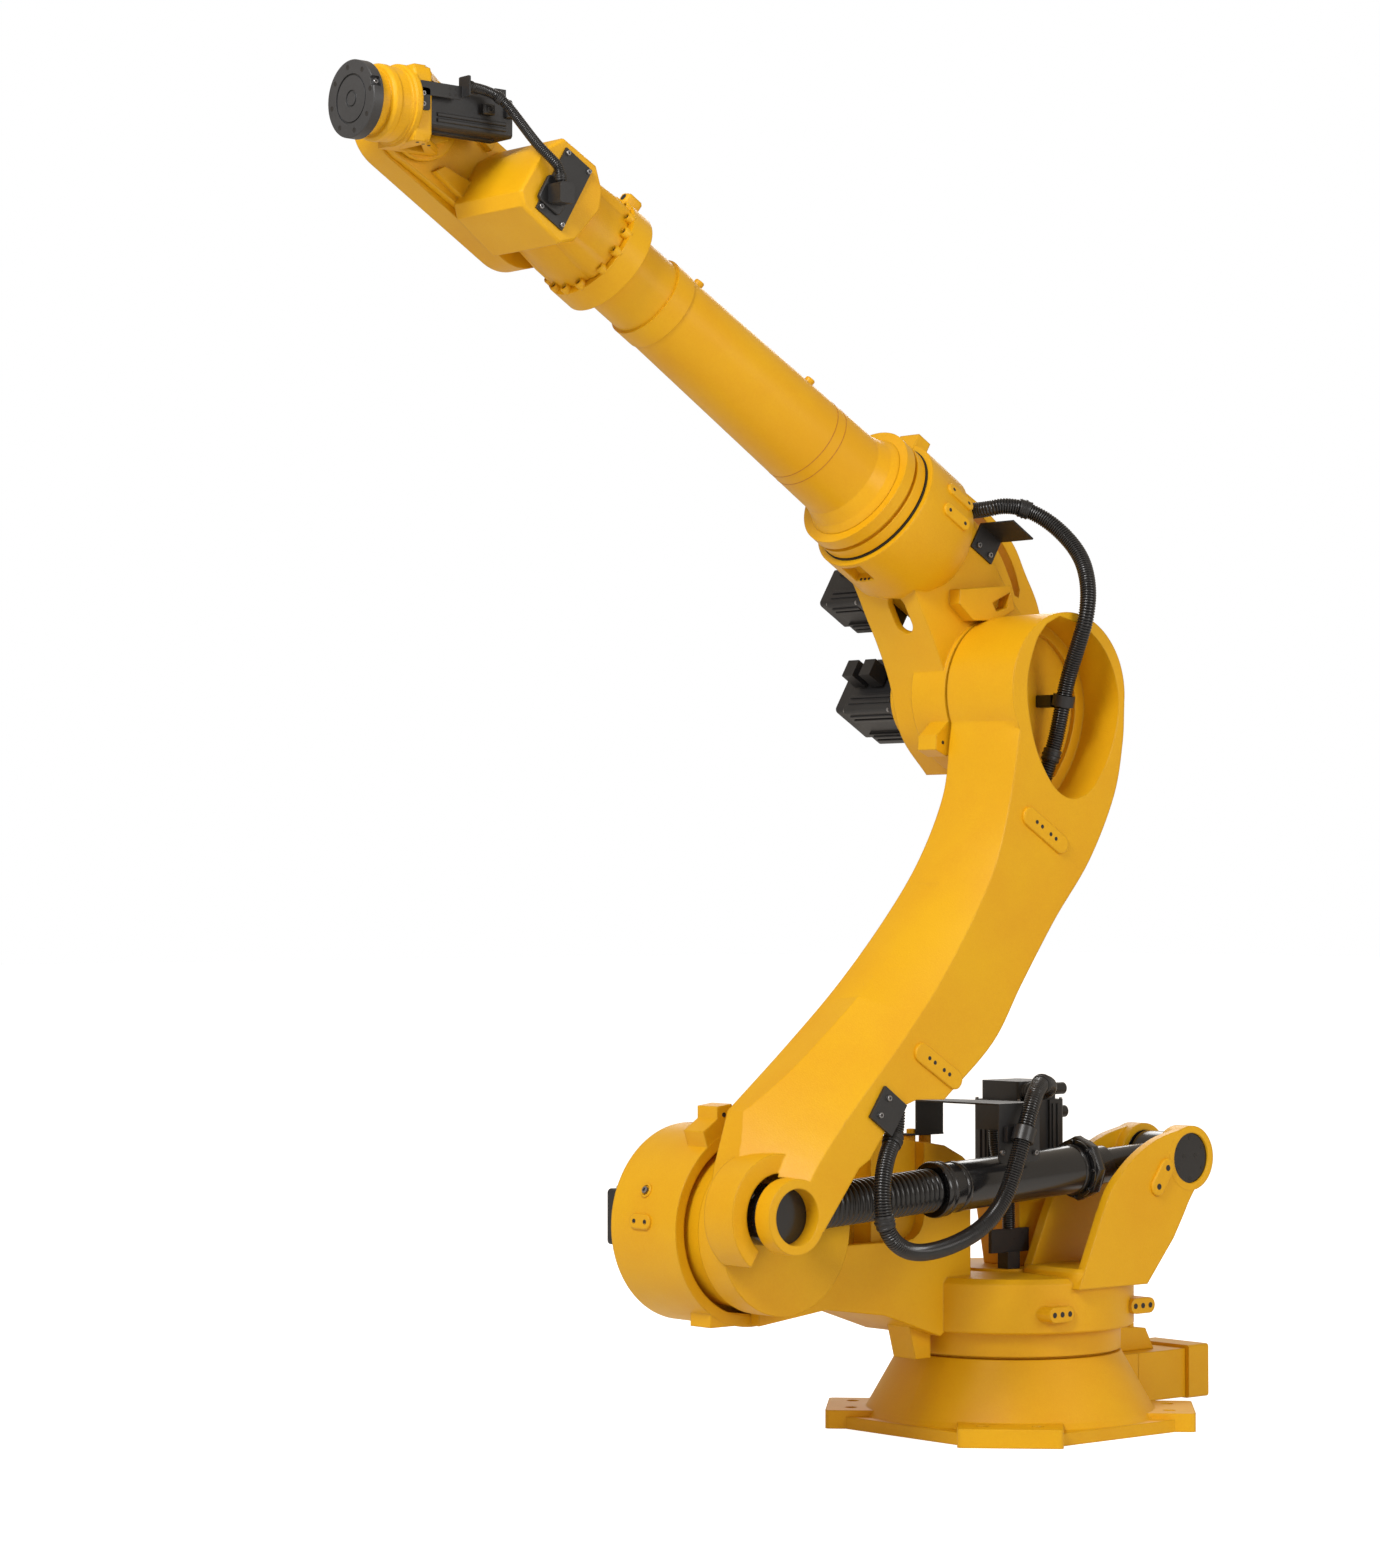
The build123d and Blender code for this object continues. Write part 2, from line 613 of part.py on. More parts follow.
with BuildPart() as wrist_housing:
    cylinder(across(FRONT_START + FRONT_LEN + 2 * SEAT), NECK_R, 110)
    with BuildSketch(elbow_side(BLOCK_NEAR_Y)):
        with BuildLine():
            Polyline((1219, 156), (1231, 187), (1263, 215), (1340, 212), (1366, 169), (1369, 82),
                     (1351, 65), (1259, 58), (1236, 81), close=True)
        make_face()
    extrude(amount=BLOCK_NEAR_Y - BLOCK_FAR_Y)
    with BuildSketch(elbow_side(BLOCK_FAR_Y)):
        with BuildLine():
            Polyline((1225, 92), (1500, 82), (1500, 232), (1225, 220), close=True)
        make_face()
        with Locations((FOREARM_REACH, ELBOW_RISE)):
            Circle(BELT_R - 4)
    extrude(amount=WALL_T)
    cylinder(elbow_side(BLOCK_FAR_Y + RUNNING_GAP - SEAT, AXIS5), DISC5_R - 16, RUNNING_GAP)

with BuildPart() as belt_cover:
    with BuildSketch(elbow_side(BLOCK_FAR_Y - WALL_T - SEAT)):
        with Locations((1365, ELBOW_RISE)):
            SlotOverall(430, 2 * BELT_R)
    extrude(amount=BLOCK_FAR_Y - WALL_T - SEAT - BELT_FAR_Y)

with BuildPart() as wrist_gland_plate:
    with BuildSketch(elbow_side(BLOCK_NEAR_Y + 4 + SEAT)):
        with Locations((1300, 137)):
            Rectangle(62, 122)
    extrude(amount=4)

WRIST_POINTS = (
    (AXIS5.X - 2.3, 59.5, 2254), (1250, 59.5, 2254), (1216, 66, 2240), (1196, 88, 2200), (1186, 118, 2162),
    (1170, 134, 2140), (1152, 134, 2126), (1152, 134, 2103.3),
)
with BuildPart() as wrist_hose:
    hose(WRIST_POINTS, WRIST_HOSE_R)

with BuildPart() as wrist_gland:
    with BuildSketch(side(BLOCK_NEAR_Y + 42)):
        with Locations((1152, 2086)):
            RectangleRounded(30, 34, 5)
    extrude(amount=42 - 4 - 2 * SEAT)

# Wrist: body on axis 5 that carries axis 6 and its motor
with BuildPart() as wrist_casting:
    cylinder(facing(60), WRIST_R, WRIST_REACH - 60 - FLANGE_T - 22)
    cylinder(facing(WRIST_REACH - FLANGE_T - 22), NECK6_R, 22 - JOINT_GAP)
    cylinder(facing(WRIST_REACH - FLANGE_T - JOINT_GAP), NECK6_R - 16, JOINT_GAP - SEAT)
    cylinder(side(BLOCK_FAR_Y + RUNNING_GAP + 11, AXIS5), DISC5_R, 11)
    for cheek_y in (50, BLOCK_FAR_Y + RUNNING_GAP + 25):
        with BuildSketch(side(cheek_y, AXIS5)):
            with BuildLine():
                Polyline((90, -50), (90, 50), (20, 55), (-30, 20), (-30, -20), (20, -55), close=True)
            make_face()
        extrude(amount=14)

with BuildPart() as axis6_motor:
    with BuildSketch(facing(-MOTOR6_BACK)):
        RectangleRounded(MOTOR6_W, MOTOR6_W, 6)
    extrude(amount=MOTOR6_BACK + 60 - SEAT)

with BuildPart() as axis6_connectors:
    for x in (-100, -64):
        with Locations((AXIS5.X + x, 12, AXIS5.Z + MOTOR6_W / 2 + 8 + SEAT)):
            Box(22, 24, 16)

with BuildPart() as wrist_hose_bracket:
    with Locations((AXIS5.X + 14, 55, AXIS5.Z + 34)):
        Box(32, 10 - 2 * SEAT, 40)

with BuildPart() as tool_flange:
    with BuildSketch(facing(WRIST_REACH - FLANGE_T)):
        Circle(FLANGE_R)
        with PolarLocations(FLANGE_PCD / 2, FLANGE_HOLES, 22.5):
            Circle(FLANGE_HOLE_R, mode=Mode.SUBTRACT)
    extrude(amount=FLANGE_T)

# Balancer: cylinder between the ears' pin and the fork of the lower arm
BALANCER_AXIS = Axis((EAR_X, BALANCER_Y, EAR_Z), tuple(FRONT_PIN - REAR_PIN))


def turned(start, end, radius, mode=Mode.ADD):
    """Plain turned piece along the balancer."""
    with BuildSketch(balancer_side(BALANCER_Y)) as half:
        with Locations(((start + end) / 2, radius / 2)):
            Rectangle(end - start, radius)
    revolve(half.sketch, axis=BALANCER_AXIS, mode=mode)


with BuildPart() as balancer_cylinder:
    turned(BALANCER_START, BALANCER_END, BALANCER_R)
    turned(BALANCER_END - ROD_SPARE, BALANCER_END, ROD_R + PIN_FIT, Mode.SUBTRACT)

with BuildPart() as balancer_front_cap:
    turned(BALANCER_END + SEAT, BALANCER_END + CAP_T, CAP_R)
    turned(BALANCER_END, BALANCER_END + CAP_T, ROD_R + PIN_FIT, Mode.SUBTRACT)

with BuildPart() as balancer_collar:
    turned(BALANCER_START - COLLAR_T, BALANCER_START - SEAT, COLLAR_R)

with BuildPart() as balancer_tail:
    turned(20, BALANCER_START - COLLAR_T - SEAT, TAIL_R)
    cylinder(side(BALANCER_Y + EYE_T / 2, REAR_PIN), EYE_R - 4, EYE_T)
    cylinder(side(BALANCER_Y + EYE_T / 2, REAR_PIN), TAIL_PIN_R + PIN_FIT, EYE_T, Mode.SUBTRACT)

with BuildPart() as balancer_rod:
    turned(BALANCER_END - ROD_SPARE / 3, BALANCER_LENGTH - 20, ROD_R)
    cylinder(side(BALANCER_Y + EYE_T / 2, FRONT_PIN), EYE_R, EYE_T)

with BuildPart() as balancer_bellows:
    turned(BALANCER_END + CAP_T + SEAT, BELLOWS_END, BELLOWS_R)
    turned(BALANCER_END + CAP_T + SEAT, BELLOWS_END, ROD_R + 1, Mode.SUBTRACT)

PIECES = {
    "base_casting": base_casting,
    "base_cable_box": base_cable_box,
    "base_end_plate": base_end_plate,
    "base_connector": base_connector,
    "axis1_stop_block": axis1_stop_block,
    "turret_casting": turret_casting,
    "balancer_rear_pin": balancer_rear_pin,
    "axis1_pedestal": axis1_pedestal,
    "axis1_motor": axis1_motor,
    "axis1_connectors": axis1_connectors,
    "axis2_motor": axis2_motor,
    "axis2_connectors": axis2_connectors,
    "turret_cable_bracket": turret_cable_bracket,
    "turret_cable_guide": turret_cable_guide,
    "turret_riser_hose": turret_riser_hose,
    "turret_hose_clamp": turret_hose_clamp,
    "lower_hose": lower_hose,
    "lower_arm_casting": lower_arm_casting,
    "balancer_front_pin": balancer_front_pin,
    "lower_hose_plate": lower_hose_plate,
    "arm_hose_clip": arm_hose_clip,
    "elbow_casting": elbow_casting,
    "axis3_motor": axis3_motor,
    "axis3_connectors": axis3_connectors,
    "axis4_motor": axis4_motor,
    "elbow_hose_bracket": elbow_hose_bracket,
    "elbow_far_bracket": elbow_far_bracket,
    "elbow_hose": elbow_hose,
    "forearm_root_ring": forearm_root_ring,
    "forearm_tube": forearm_tube,
    "forearm_front_ring": forearm_front_ring,
    "wrist_housing": wrist_housing,
    "belt_cover": belt_cover,
    "wrist_gland_plate": wrist_gland_plate,
    "wrist_gland": wrist_gland,
    "wrist_hose": wrist_hose,
    "wrist_casting": wrist_casting,
    "axis6_motor": axis6_motor,
    "axis6_connectors": axis6_connectors,
    "wrist_hose_bracket": wrist_hose_bracket,
    "tool_flange": tool_flange,
    "balancer_cylinder": balancer_cylinder,
    "balancer_front_cap": balancer_front_cap,
    "balancer_collar": balancer_collar,
    "balancer_tail": balancer_tail,
    "balancer_rod": balancer_rod,
    "balancer_bellows": balancer_bellows,
}
for name, piece in PIECES.items():
    piece.part.label = name
    export_step(piece.part, f"parts/{name}.step")
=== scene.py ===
import json
import math
import bmesh
import bpy
import numpy as np
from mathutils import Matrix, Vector


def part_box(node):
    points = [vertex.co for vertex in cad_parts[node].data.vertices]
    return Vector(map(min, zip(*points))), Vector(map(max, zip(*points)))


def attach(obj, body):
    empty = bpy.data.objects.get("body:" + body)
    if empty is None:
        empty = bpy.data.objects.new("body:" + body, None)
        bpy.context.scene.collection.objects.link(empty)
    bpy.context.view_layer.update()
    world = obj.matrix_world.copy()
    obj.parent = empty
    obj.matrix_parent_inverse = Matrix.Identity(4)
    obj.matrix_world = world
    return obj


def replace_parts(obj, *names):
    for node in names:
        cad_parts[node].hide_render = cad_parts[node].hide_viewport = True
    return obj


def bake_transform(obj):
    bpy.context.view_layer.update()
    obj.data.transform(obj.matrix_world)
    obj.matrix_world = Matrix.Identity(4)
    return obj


# Six-axis industrial arm with a round base and a spring balancer. Metres, X forward, Y to the
# arm's left, Z up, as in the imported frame. Outlines are written in millimetres.
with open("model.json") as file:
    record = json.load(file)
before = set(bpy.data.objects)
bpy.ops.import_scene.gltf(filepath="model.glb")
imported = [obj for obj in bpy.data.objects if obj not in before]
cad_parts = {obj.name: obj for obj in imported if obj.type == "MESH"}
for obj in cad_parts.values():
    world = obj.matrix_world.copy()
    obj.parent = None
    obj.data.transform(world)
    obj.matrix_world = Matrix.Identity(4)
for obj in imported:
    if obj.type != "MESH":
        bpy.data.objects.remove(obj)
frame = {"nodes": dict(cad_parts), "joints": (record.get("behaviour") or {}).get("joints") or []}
nodes = frame["nodes"]
joints = {joint["name"]: joint for joint in frame["joints"]}
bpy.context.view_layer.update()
MM = 0.001
X, Y, Z = np.eye(3)
AXIS2, AXIS3, AXIS4, AXIS5 = (
    np.array(joints[name]["pos_m"]) for name in ("axis2_lean", "axis3_lift", "axis4_roll", "axis5_bend")
)
ALONG = np.array(joints["axis4_roll"]["axis"])
ABOVE = np.cross(ALONG, Y)
ARM_UP = (AXIS3 - AXIS2) / np.linalg.norm(AXIS3 - AXIS2)
ARM_FRONT = np.cross(Y, ARM_UP)

# Yellow castings: ductile iron and aluminium, blasted, then sprayed with one semi-gloss coat.
# The coat keeps the grain of the sand mould, is a little thicker here and there, and rounds
# every edge by a few millimetres.
YELLOW = (0.745, 0.405, 0.006)
DEEP_YELLOW = (0.705, 0.352, 0.004)


def node_group(name, inputs, outputs):
    """Shader group with named sockets. Inputs are (label, kind, value) and outputs (label, kind)."""
    group = bpy.data.node_groups.new(name, "ShaderNodeTree")
    for label, kind, value in inputs:
        socket = group.interface.new_socket(label, in_out="INPUT", socket_type="NodeSocket" + kind)
        if value is not None:
            socket.default_value = value
    for label, kind in outputs:
        group.interface.new_socket(label, in_out="OUTPUT", socket_type="NodeSocket" + kind)
    return group, group.nodes.new("NodeGroupInput"), group.nodes.new("NodeGroupOutput")


def add(tree, kind, values=(), **settings):
    """One new node with its settings, and with the values of the inputs that are given by label."""
    node = tree.nodes.new("ShaderNode" + kind)
    for key, value in settings.items():
        setattr(node, key, value)
    for label, value in dict(values).items():
        node.inputs[label].default_value = value
    return node


def cast_grain_group():
    """Height of a sprayed casting: fine sand grain, with a slow waviness under it."""
    group, into, out = node_group(
        "cast_grain",
        [("Place", "Vector", None), ("Grain Size", "Float", 0.002), ("Waviness", "Float", 0.3)],
        [("Height", "Float")],
    )
    finer = add(group, "Math", operation="DIVIDE")
    finer.inputs[0].default_value = 1.0
    grain = add(group, "TexNoise", {"Detail": 2.0, "Roughness": 0.5})
    slow = add(group, "TexNoise", {"Scale": 14.0, "Detail": 2.0})
    waves = add(group, "Math", operation="MULTIPLY")
    total = add(group, "Math", operation="ADD")
    group.links.new(into.outputs["Grain Size"], finer.inputs[1])
    group.links.new(finer.outputs[0], grain.inputs["Scale"])
    for texture in (grain, slow):
        group.links.new(into.outputs["Place"], texture.inputs["Vector"])
    group.links.new(slow.outputs["Fac"], waves.inputs[0])
    group.links.new(into.outputs["Waviness"], waves.inputs[1])
    group.links.new(grain.outputs["Fac"], total.inputs[0])
    group.links.new(waves.outputs[0], total.inputs[1])
    group.links.new(total.outputs[0], out.inputs["Height"])
    return group


def coat_drift_group():
    """Colour and roughness of a coat that is thicker here and thinner there."""
    group, into, out = node_group(
        "coat_drift",
        [("Place", "Vector", None), ("Colour", "Color", (1, 1, 1, 1)),
         ("Deep Colour", "Color", (1, 1, 1, 1)), ("Roughness", "Float", 0.4),
         ("Spread", "Float", 0.06)],
        [("Colour", "Color"), ("Roughness", "Float")],
    )
    clouds = add(group, "TexNoise", {"Scale": 5.0, "Detail": 4.0, "Roughness": 0.55})
    speckle = add(group, "TexNoise", {"Scale": 260.0, "Detail": 2.0})
    faint = add(group, "Math", operation="MULTIPLY")
    faint.inputs[1].default_value = 0.35
    both = add(group, "Math", operation="ADD")
    centred = add(group, "MapRange", {"From Min": 0.5, "From Max": 0.85})
    mix = add(group, "Mix", data_type="RGBA")
    rough = add(group, "MapRange", {"From Min": 0.35, "From Max": 0.65})
    low = add(group, "Math", operation="SUBTRACT")
    high = add(group, "Math", operation="ADD")
    for texture in (clouds, speckle):
        group.links.new(into.outputs["Place"], texture.inputs["Vector"])
    group.links.new(speckle.outputs["Fac"], faint.inputs[0])
    group.links.new(clouds.outputs["Fac"], both.inputs[0])
    group.links.new(faint.outputs[0], both.inputs[1])
    group.links.new(both.outputs[0], centred.inputs["Value"])
    group.links.new(centred.outputs[0], mix.inputs["Factor"])
    group.links.new(into.outputs["Colour"], mix.inputs["A"])
    group.links.new(into.outputs["Deep Colour"], mix.inputs["B"])
    group.links.new(mix.outputs["Result"], out.inputs["Colour"])
    for limit in (low, high):
        group.links.new(into.outputs["Roughness"], limit.inputs[0])
        group.links.new(into.outputs["Spread"], limit.inputs[1])
    group.links.new(clouds.outputs["Fac"], rough.inputs["Value"])
    group.links.new(low.outputs[0], rough.inputs["To Min"])
    group.links.new(high.outputs[0], rough.inputs["To Max"])
    group.links.new(rough.outputs[0], out.inputs["Roughness"])
    return group


CAST_GRAIN = cast_grain_group()
COAT_DRIFT = coat_drift_group()


def coated(name, colour, deep, roughness, spread, grain, depth, waviness, edge, metallic=0.0,
           coat=0.0, gleam=0.5):
    """Coated metal or plastic: two colours, roughness and its spread, the size, depth and waviness
    of the grain, and the radius of the edges. Lengths are in metres."""
    material = bpy.data.materials.new(name)
    material.use_nodes = True
    tree = material.node_tree
    shader = tree.nodes["Principled BSDF"]
    shader.inputs["Specular IOR Level"].default_value = gleam
    shader.inputs["Metallic"].default_value = metallic
    shader.inputs["Coat Weight"].default_value = coat
    shader.inputs["Coat Roughness"].default_value = 0.12
    material.diffuse_color = (*colour, 1)
    place = add(tree, "TexCoord")
    drift = add(tree, "Group", node_tree=COAT_DRIFT)
    drift.inputs["Colour"].default_value = (*colour, 1)
    drift.inputs["Deep Colour"].default_value = (*deep, 1)
    drift.inputs["Roughness"].default_value = roughness
    drift.inputs["Spread"].default_value = spread
    height = add(tree, "Group", node_tree=CAST_GRAIN)
    height.inputs["Grain Size"].default_value = grain
    height.inputs["Waviness"].default_value = waviness
    for group in (drift, height):
        tree.links.new(place.outputs["Object"], group.inputs["Place"])
    tree.links.new(drift.outputs["Colour"], shader.inputs["Base Color"])
    tree.links.new(drift.outputs["Roughness"], shader.inputs["Roughness"])
    rounded = add(tree, "Bevel", {"Radius": edge}, samples=6)
    bump = add(tree, "Bump", {"Strength": 1.0, "Distance": depth})
    tree.links.new(height.outputs["Height"], bump.inputs["Height"])
    tree.links.new(rounded.outputs["Normal"], bump.inputs["Normal"])
    tree.links.new(bump.outputs["Normal"], shader.inputs["Normal"])
    return material


def finish_nodes(material, *names):
    """Gives CAD nodes a material in their one slot."""
    for name in names:
        nodes[name].data.materials.clear()
        nodes[name].data.materials.append(material)


cast_paint = coated("cast_paint", YELLOW, DEEP_YELLOW, 0.42, 0.05, 0.0026, 0.00030, 0.8, 0.0045,
                    gleam=0.3)
fine_paint = coated("fine_paint", YELLOW, DEEP_YELLOW, 0.38, 0.04, 0.0020, 0.00007, 0.5, 0.002,
                    gleam=0.3)
finish_nodes(
    cast_paint, "base_casting", "belt_cover", "axis1_stop_block", "axis1_pedestal", "base_cable_box",
)
finish_nodes(
    fine_paint, "forearm_root_ring", "forearm_tube", "forearm_front_ring", "base_end_plate",
    "base_connector",
)

SHARP = math.radians(36)


def solid(name, grids):
    """Closed mesh of grids of points, rings by sides. Each ring is joined to the next, and the end
    rings are filled."""
    points, faces, start = [], [], 0
    for grid in grids:
        rings, sides = grid.shape[:2]
        index = start + np.arange(rings * sides).reshape(rings, sides)
        here, after = index[:-1], index[1:]
        quads = np.stack([here, after, np.roll(after, -1, axis=1), np.roll(here, -1, axis=1)], axis=-1)
        faces += quads.reshape(-1, 4).tolist() + [index[0].tolist(), index[-1][::-1].tolist()]
        points.append(grid.reshape(-1, 3))
        start += rings * sides
    mesh = bpy.data.meshes.new(name)
    mesh.from_pydata(np.concatenate(points).tolist(), [], faces)
    piece = bpy.data.objects.new(name, mesh)
    bpy.context.scene.collection.objects.link(piece)
    tidy_shell(mesh)
    return piece


def tidy_shell(mesh):
    """Merges doubles, turns every face outwards and marks the sharp edges."""
    shell = bmesh.new()
    shell.from_mesh(mesh)
    bmesh.ops.remove_doubles(shell, verts=shell.verts, dist=1e-5)
    bmesh.ops.recalc_face_normals(shell, faces=shell.faces)
    shell.to_mesh(mesh)
    shell.free()
    mesh.shade_smooth()
    mesh.set_sharp_from_angle(angle=SHARP)


def shaped(piece, steps):
    """A casting with solids joined to it ("UNION") and cut from it ("DIFFERENCE"), in order."""
    for operation, tool in steps:
        change = piece.modifiers.new(operation, "BOOLEAN")
        change.operation = operation
        change.object = tool
        change.solver = "EXACT"
    ready = piece.evaluated_get(bpy.context.evaluated_depsgraph_get())
    mesh = bpy.data.meshes.new_from_object(ready)
    piece.modifiers.clear()
    piece.data = mesh
    for _, tool in steps:
        bpy.data.objects.remove(tool)
    tidy_shell(mesh)
    return piece


def finished(piece, material, body):
    """Gives a new piece its material and the body that it rides on."""
    piece.data.materials.clear()
    piece.data.materials.append(material)
    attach(piece, body)
    return piece


def fitted(name, body, grids, material=cast_paint, slot="yellow_paint"):
    """New piece of closed grids that rides on a body, painted as the castings are unless told."""
    return finished(solid(name, grids), material, body)


SIDE = (np.zeros(3), X, Z)
ARM = (AXIS2, ARM_UP, ARM_FRONT)
ELBOW = (AXIS3, ALONG, ABOVE)
HOUSING = (AXIS5, ALONG, ABOVE)
WRIST = (AXIS5, X, Z)


def slab(outline, near, far, plane=SIDE):
    """Prism of an outline drawn on a plane across the arm, from one depth to another, all in mm.
    A plane is its origin and its two directions."""
    origin, right, up = plane
    flat = np.array(outline, float) * MM
    drawn = origin + flat[:, :1] * right + flat[:, 1:] * up
    return solid("slab", [np.stack([drawn + Y * near * MM, drawn + Y * far * MM])])


def circle(x, y, radius, sides=96):
    """Outline of a disc."""
    angle = np.linspace(0, 2 * np.pi, sides, endpoint=False)
    return np.stack([x + radius * np.cos(angle), y + radius * np.sin(angle)], axis=1)


def through(points, steps=8):
    """Curve through points: each span is the cubic whose end slopes are half the chord of the neighbours."""
    points = np.array(points, float)
    slopes = np.gradient(points, axis=0)
    part = np.linspace(0, 1, steps, endpoint=False)[:, None]
    spans = [
        a * (1 + 2 * part) * (1 - part)**2 + m * part * (1 - part)**2
        + b * part**2 * (3 - 2 * part) - n * part**2 * (1 - part)
        for a, b, m, n in zip(points, points[1:], slopes, slopes[1:])
    ]
    return np.concatenate(spans + [points[-1:]])


def square_to(direction, right=None):
    """Two unit directions square to a direction, the first near the one asked for, and the
    direction itself."""
    up = np.array(direction, float)
    up /= np.linalg.norm(up)
    if right is None:
        right = X if abs(up[2]) > 0.9 else np.cross(Z, up)
    first = np.array(right, float)
    first -= up * (first @ up)
    first /= np.linalg.norm(first)
    return first, np.cross(up, first), up


def aimed(first, second, degrees):
    """Direction turned from one towards another that is square to it."""
    angle = math.radians(degrees)
    return first * math.cos(angle) + second * math.sin(angle)


def turned(profile, sides=32):
    """Turned shape: rows of radius, height and, for a polygon, its flats n, whose radius at angle a
    is r cos(pi / n) / cos((a mod 2 pi / n) - pi / n)."""
    angle = np.linspace(0, 2 * np.pi, sides, endpoint=False)
    rings = []
    for radius, height, *flats in profile:
        reach = np.full(sides, radius)
        if flats:
            step = 2 * np.pi / flats[0]
            reach = radius * np.cos(step / 2) / np.cos(angle % step - step / 2)
        rings.append(np.stack([reach * np.cos(angle), reach * np.sin(angle), np.full(sides, height)], axis=1))
    return np.array(rings) * MM


def blocky(half_x, half_y, corner, profile, steps=5):
    """Rounded rectangle carried up: rows of inset and height."""
    angle = (np.linspace(0, np.pi / 2, steps) + np.arange(4)[:, None] * np.pi / 2).ravel()
    signs = np.repeat([(1, 1), (-1, 1), (-1, -1), (1, -1)], steps, axis=0)
    arc = np.stack([np.cos(angle), np.sin(angle)], axis=1)
    rings = []
    for inset, height in profile:
        radius = max(corner - inset, 0.2 * corner)
        flat = signs * (np.array([half_x, half_y]) - inset - radius) + radius * arc
        rings.append(np.c_[flat, np.full(len(flat), height)])
    return np.array(rings) * MM


def set_at(shape, *places):
    """Copies of a shape, each at a centre, with its height along a direction and its x near a third one."""
    grids = []
    for centre, direction, *right in places:
        first, second, up = square_to(direction, *right)
        grids.append(
            np.array(centre) + shape[..., :1] * first + shape[..., 1:2] * second + shape[..., 2:] * up
        )
    return grids


def at(x, y, z):
    """A point in metres from one in millimetres."""
    return np.array((x, y, z)) * MM


def on(plane, right, up, depth):
    """A point on a plane across the arm, given in millimetres."""
    return plane[0] + (plane[1] * right + plane[2] * up + Y * depth) * MM


# Small fittings: socket head screws of zinc-plated or blackened steel, and tapped holes, which are
# dark discs of painted shade on their pads, in place of the shaded inside of each hole, with the
# first turn of the thread round them.
zinc = coated("screw_zinc", (0.34, 0.34, 0.35), (0.26, 0.26, 0.27), 0.34, 0.06, 0.0009, 0.00003,
              0.2, 0.0003, metallic=0.9)
# Near-black steel: the own colour of the blackened front ring screws, and the painted shade of the tapped
# holes.
dark_steel_and_hole_shade = coated("dark_steel_and_hole_shade", (0.016, 0.015, 0.014), (0.010, 0.009, 0.009), 0.5, 0.05, 0.0009,
                    0.00003, 0.2, 0.0003)
PAINTED = {"material": fine_paint, "slot": "yellow_paint"}


def cap_screw(radius):
    """Socket head: a low cylinder with a broken edge and a hexagon sunk into it."""
    return turned([
        (radius, -0.8), (radius, 0.85 * radius), (0.88 * radius, radius), (0.56 * radius, radius, 6),
        (0.54 * radius, 0.35 * radius, 6),
    ])


def tapped_hole(radius):
    """End of a hole in its pad: a dark disc of painted shade in place of the hole's shaded inside, with the
    first turn of the thread round it.
    """
    return turned([(radius, -1), (radius, 0.16), (0.86 * radius, 0.24), (0.8 * radius, 0.08)], 24)


def screws(name, radius, body, *places, material=zinc, slot="black_plate"):
    """Socket head screws of one size, each given by its seat and the way that its head looks."""
    return fitted(name, body, set_at(cap_screw(radius), *places), material, slot)


def holes(name, radius, body, *places):
    """Tapped holes of one size, dark discs of painted shade, each given by its place and the way that it
    looks.
    """
    return fitted(name, body, set_at(tapped_hole(radius), *places), dark_steel_and_hole_shade, "black_plate")


# Base: the end plate of the cable box is held by a screw at each corner, and the stop block of
# axis 1 by two larger ones. All of them are painted over.
END_PLATE_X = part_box("base_end_plate")[0].x
screws("end_plate_screws", 5.5, "base", *[
    ((END_PLATE_X, y * MM, z * MM), -X) for y in (-60, 60) for z in (29, 109)
], **PAINTED)
screws("stop_block_screws", 8.0, "base", *[(at(-300, y, 155), Z) for y in (-14, 14)], **PAINTED)

# Turret: one large iron casting. A drum stands on the axis 1 bearing. A wall runs forward from it
# to the round housing of axis 2, stepped back where the lower arm swings. Two ears at the rear
# carry the balancer, and a leg below meets the stop block on the base.
EAR = (-228, 481)
NEAR_EAR, FAR_EAR, EAR_THICKNESS = 235, 102, 18.6
HOUSING2 = (AXIS2[0] / MM, AXIS2[2] / MM)
HOUSING2_RADIUS = 170
turret_wall = [
    (150, 225), (150, 466), (155, 480), (170, 492), (214, 513), (340, 534), (470, 550),
    (652, 559.5), (652, 224.5), (499, 242), (359, 223), (225, 178),
]
ear_outline = np.concatenate([
    [(62, 262), (47, 295)], through([(2, 392), (-27, 441), (-82, 488), (-140, 518), (-205, 534)], 5),
    [(-250, 500), (-262, 436)], through([(-240, 428), (-222, 404), (-206, 378), (-181, 340)], 4),
    [(-112, 262)],
])


def rounded_box(left, bottom, right, top, corner):
    """Outline of a rectangle with round corners."""
    shape = blocky((right - left) / 2, (top - bottom) / 2, corner, [(0, 0)])[0] / MM
    return shape[:, :2] + ((left + right) / 2, (bottom + top) / 2)


turret_steps = [
    ("UNION", slab(turret_wall, 52, -139)),
    ("UNION", slab(circle(*HOUSING2, HOUSING2_RADIUS, 128), 30, -139)),
    ("DIFFERENCE", slab(rounded_box(264, 350, 830, 640, 42), 53, 30)),
    ("DIFFERENCE", slab(rounded_box(372, 302, 840, 650, 42), 31, -14)),
    ("UNION", slab(circle(*HOUSING2, HOUSING2_RADIUS, 128), 30, -15)),
    ("DIFFERENCE", slab(circle(*HOUSING2, 151, 128), 31, -14)),
    ("UNION", slab(
        [(670, 540), (676, 560), (695, 602), (727, 598), (727, 577), (758, 557), (745, 520)], 29.6, -21,
    )),
    ("UNION", slab([(610, 238), (610, 226), (742, 226), (742, 256)], 29.4, -22)),
    ("UNION", slab(circle(*HOUSING2, 138), 55, -16)),
    ("UNION", solid("shoulder", set_at(
        blocky(86, 75.4, 20, [(0, 263), (0, 290), (6, 297)]), ((-0.026, 0.159, 0), Z, X),
    ))),
]
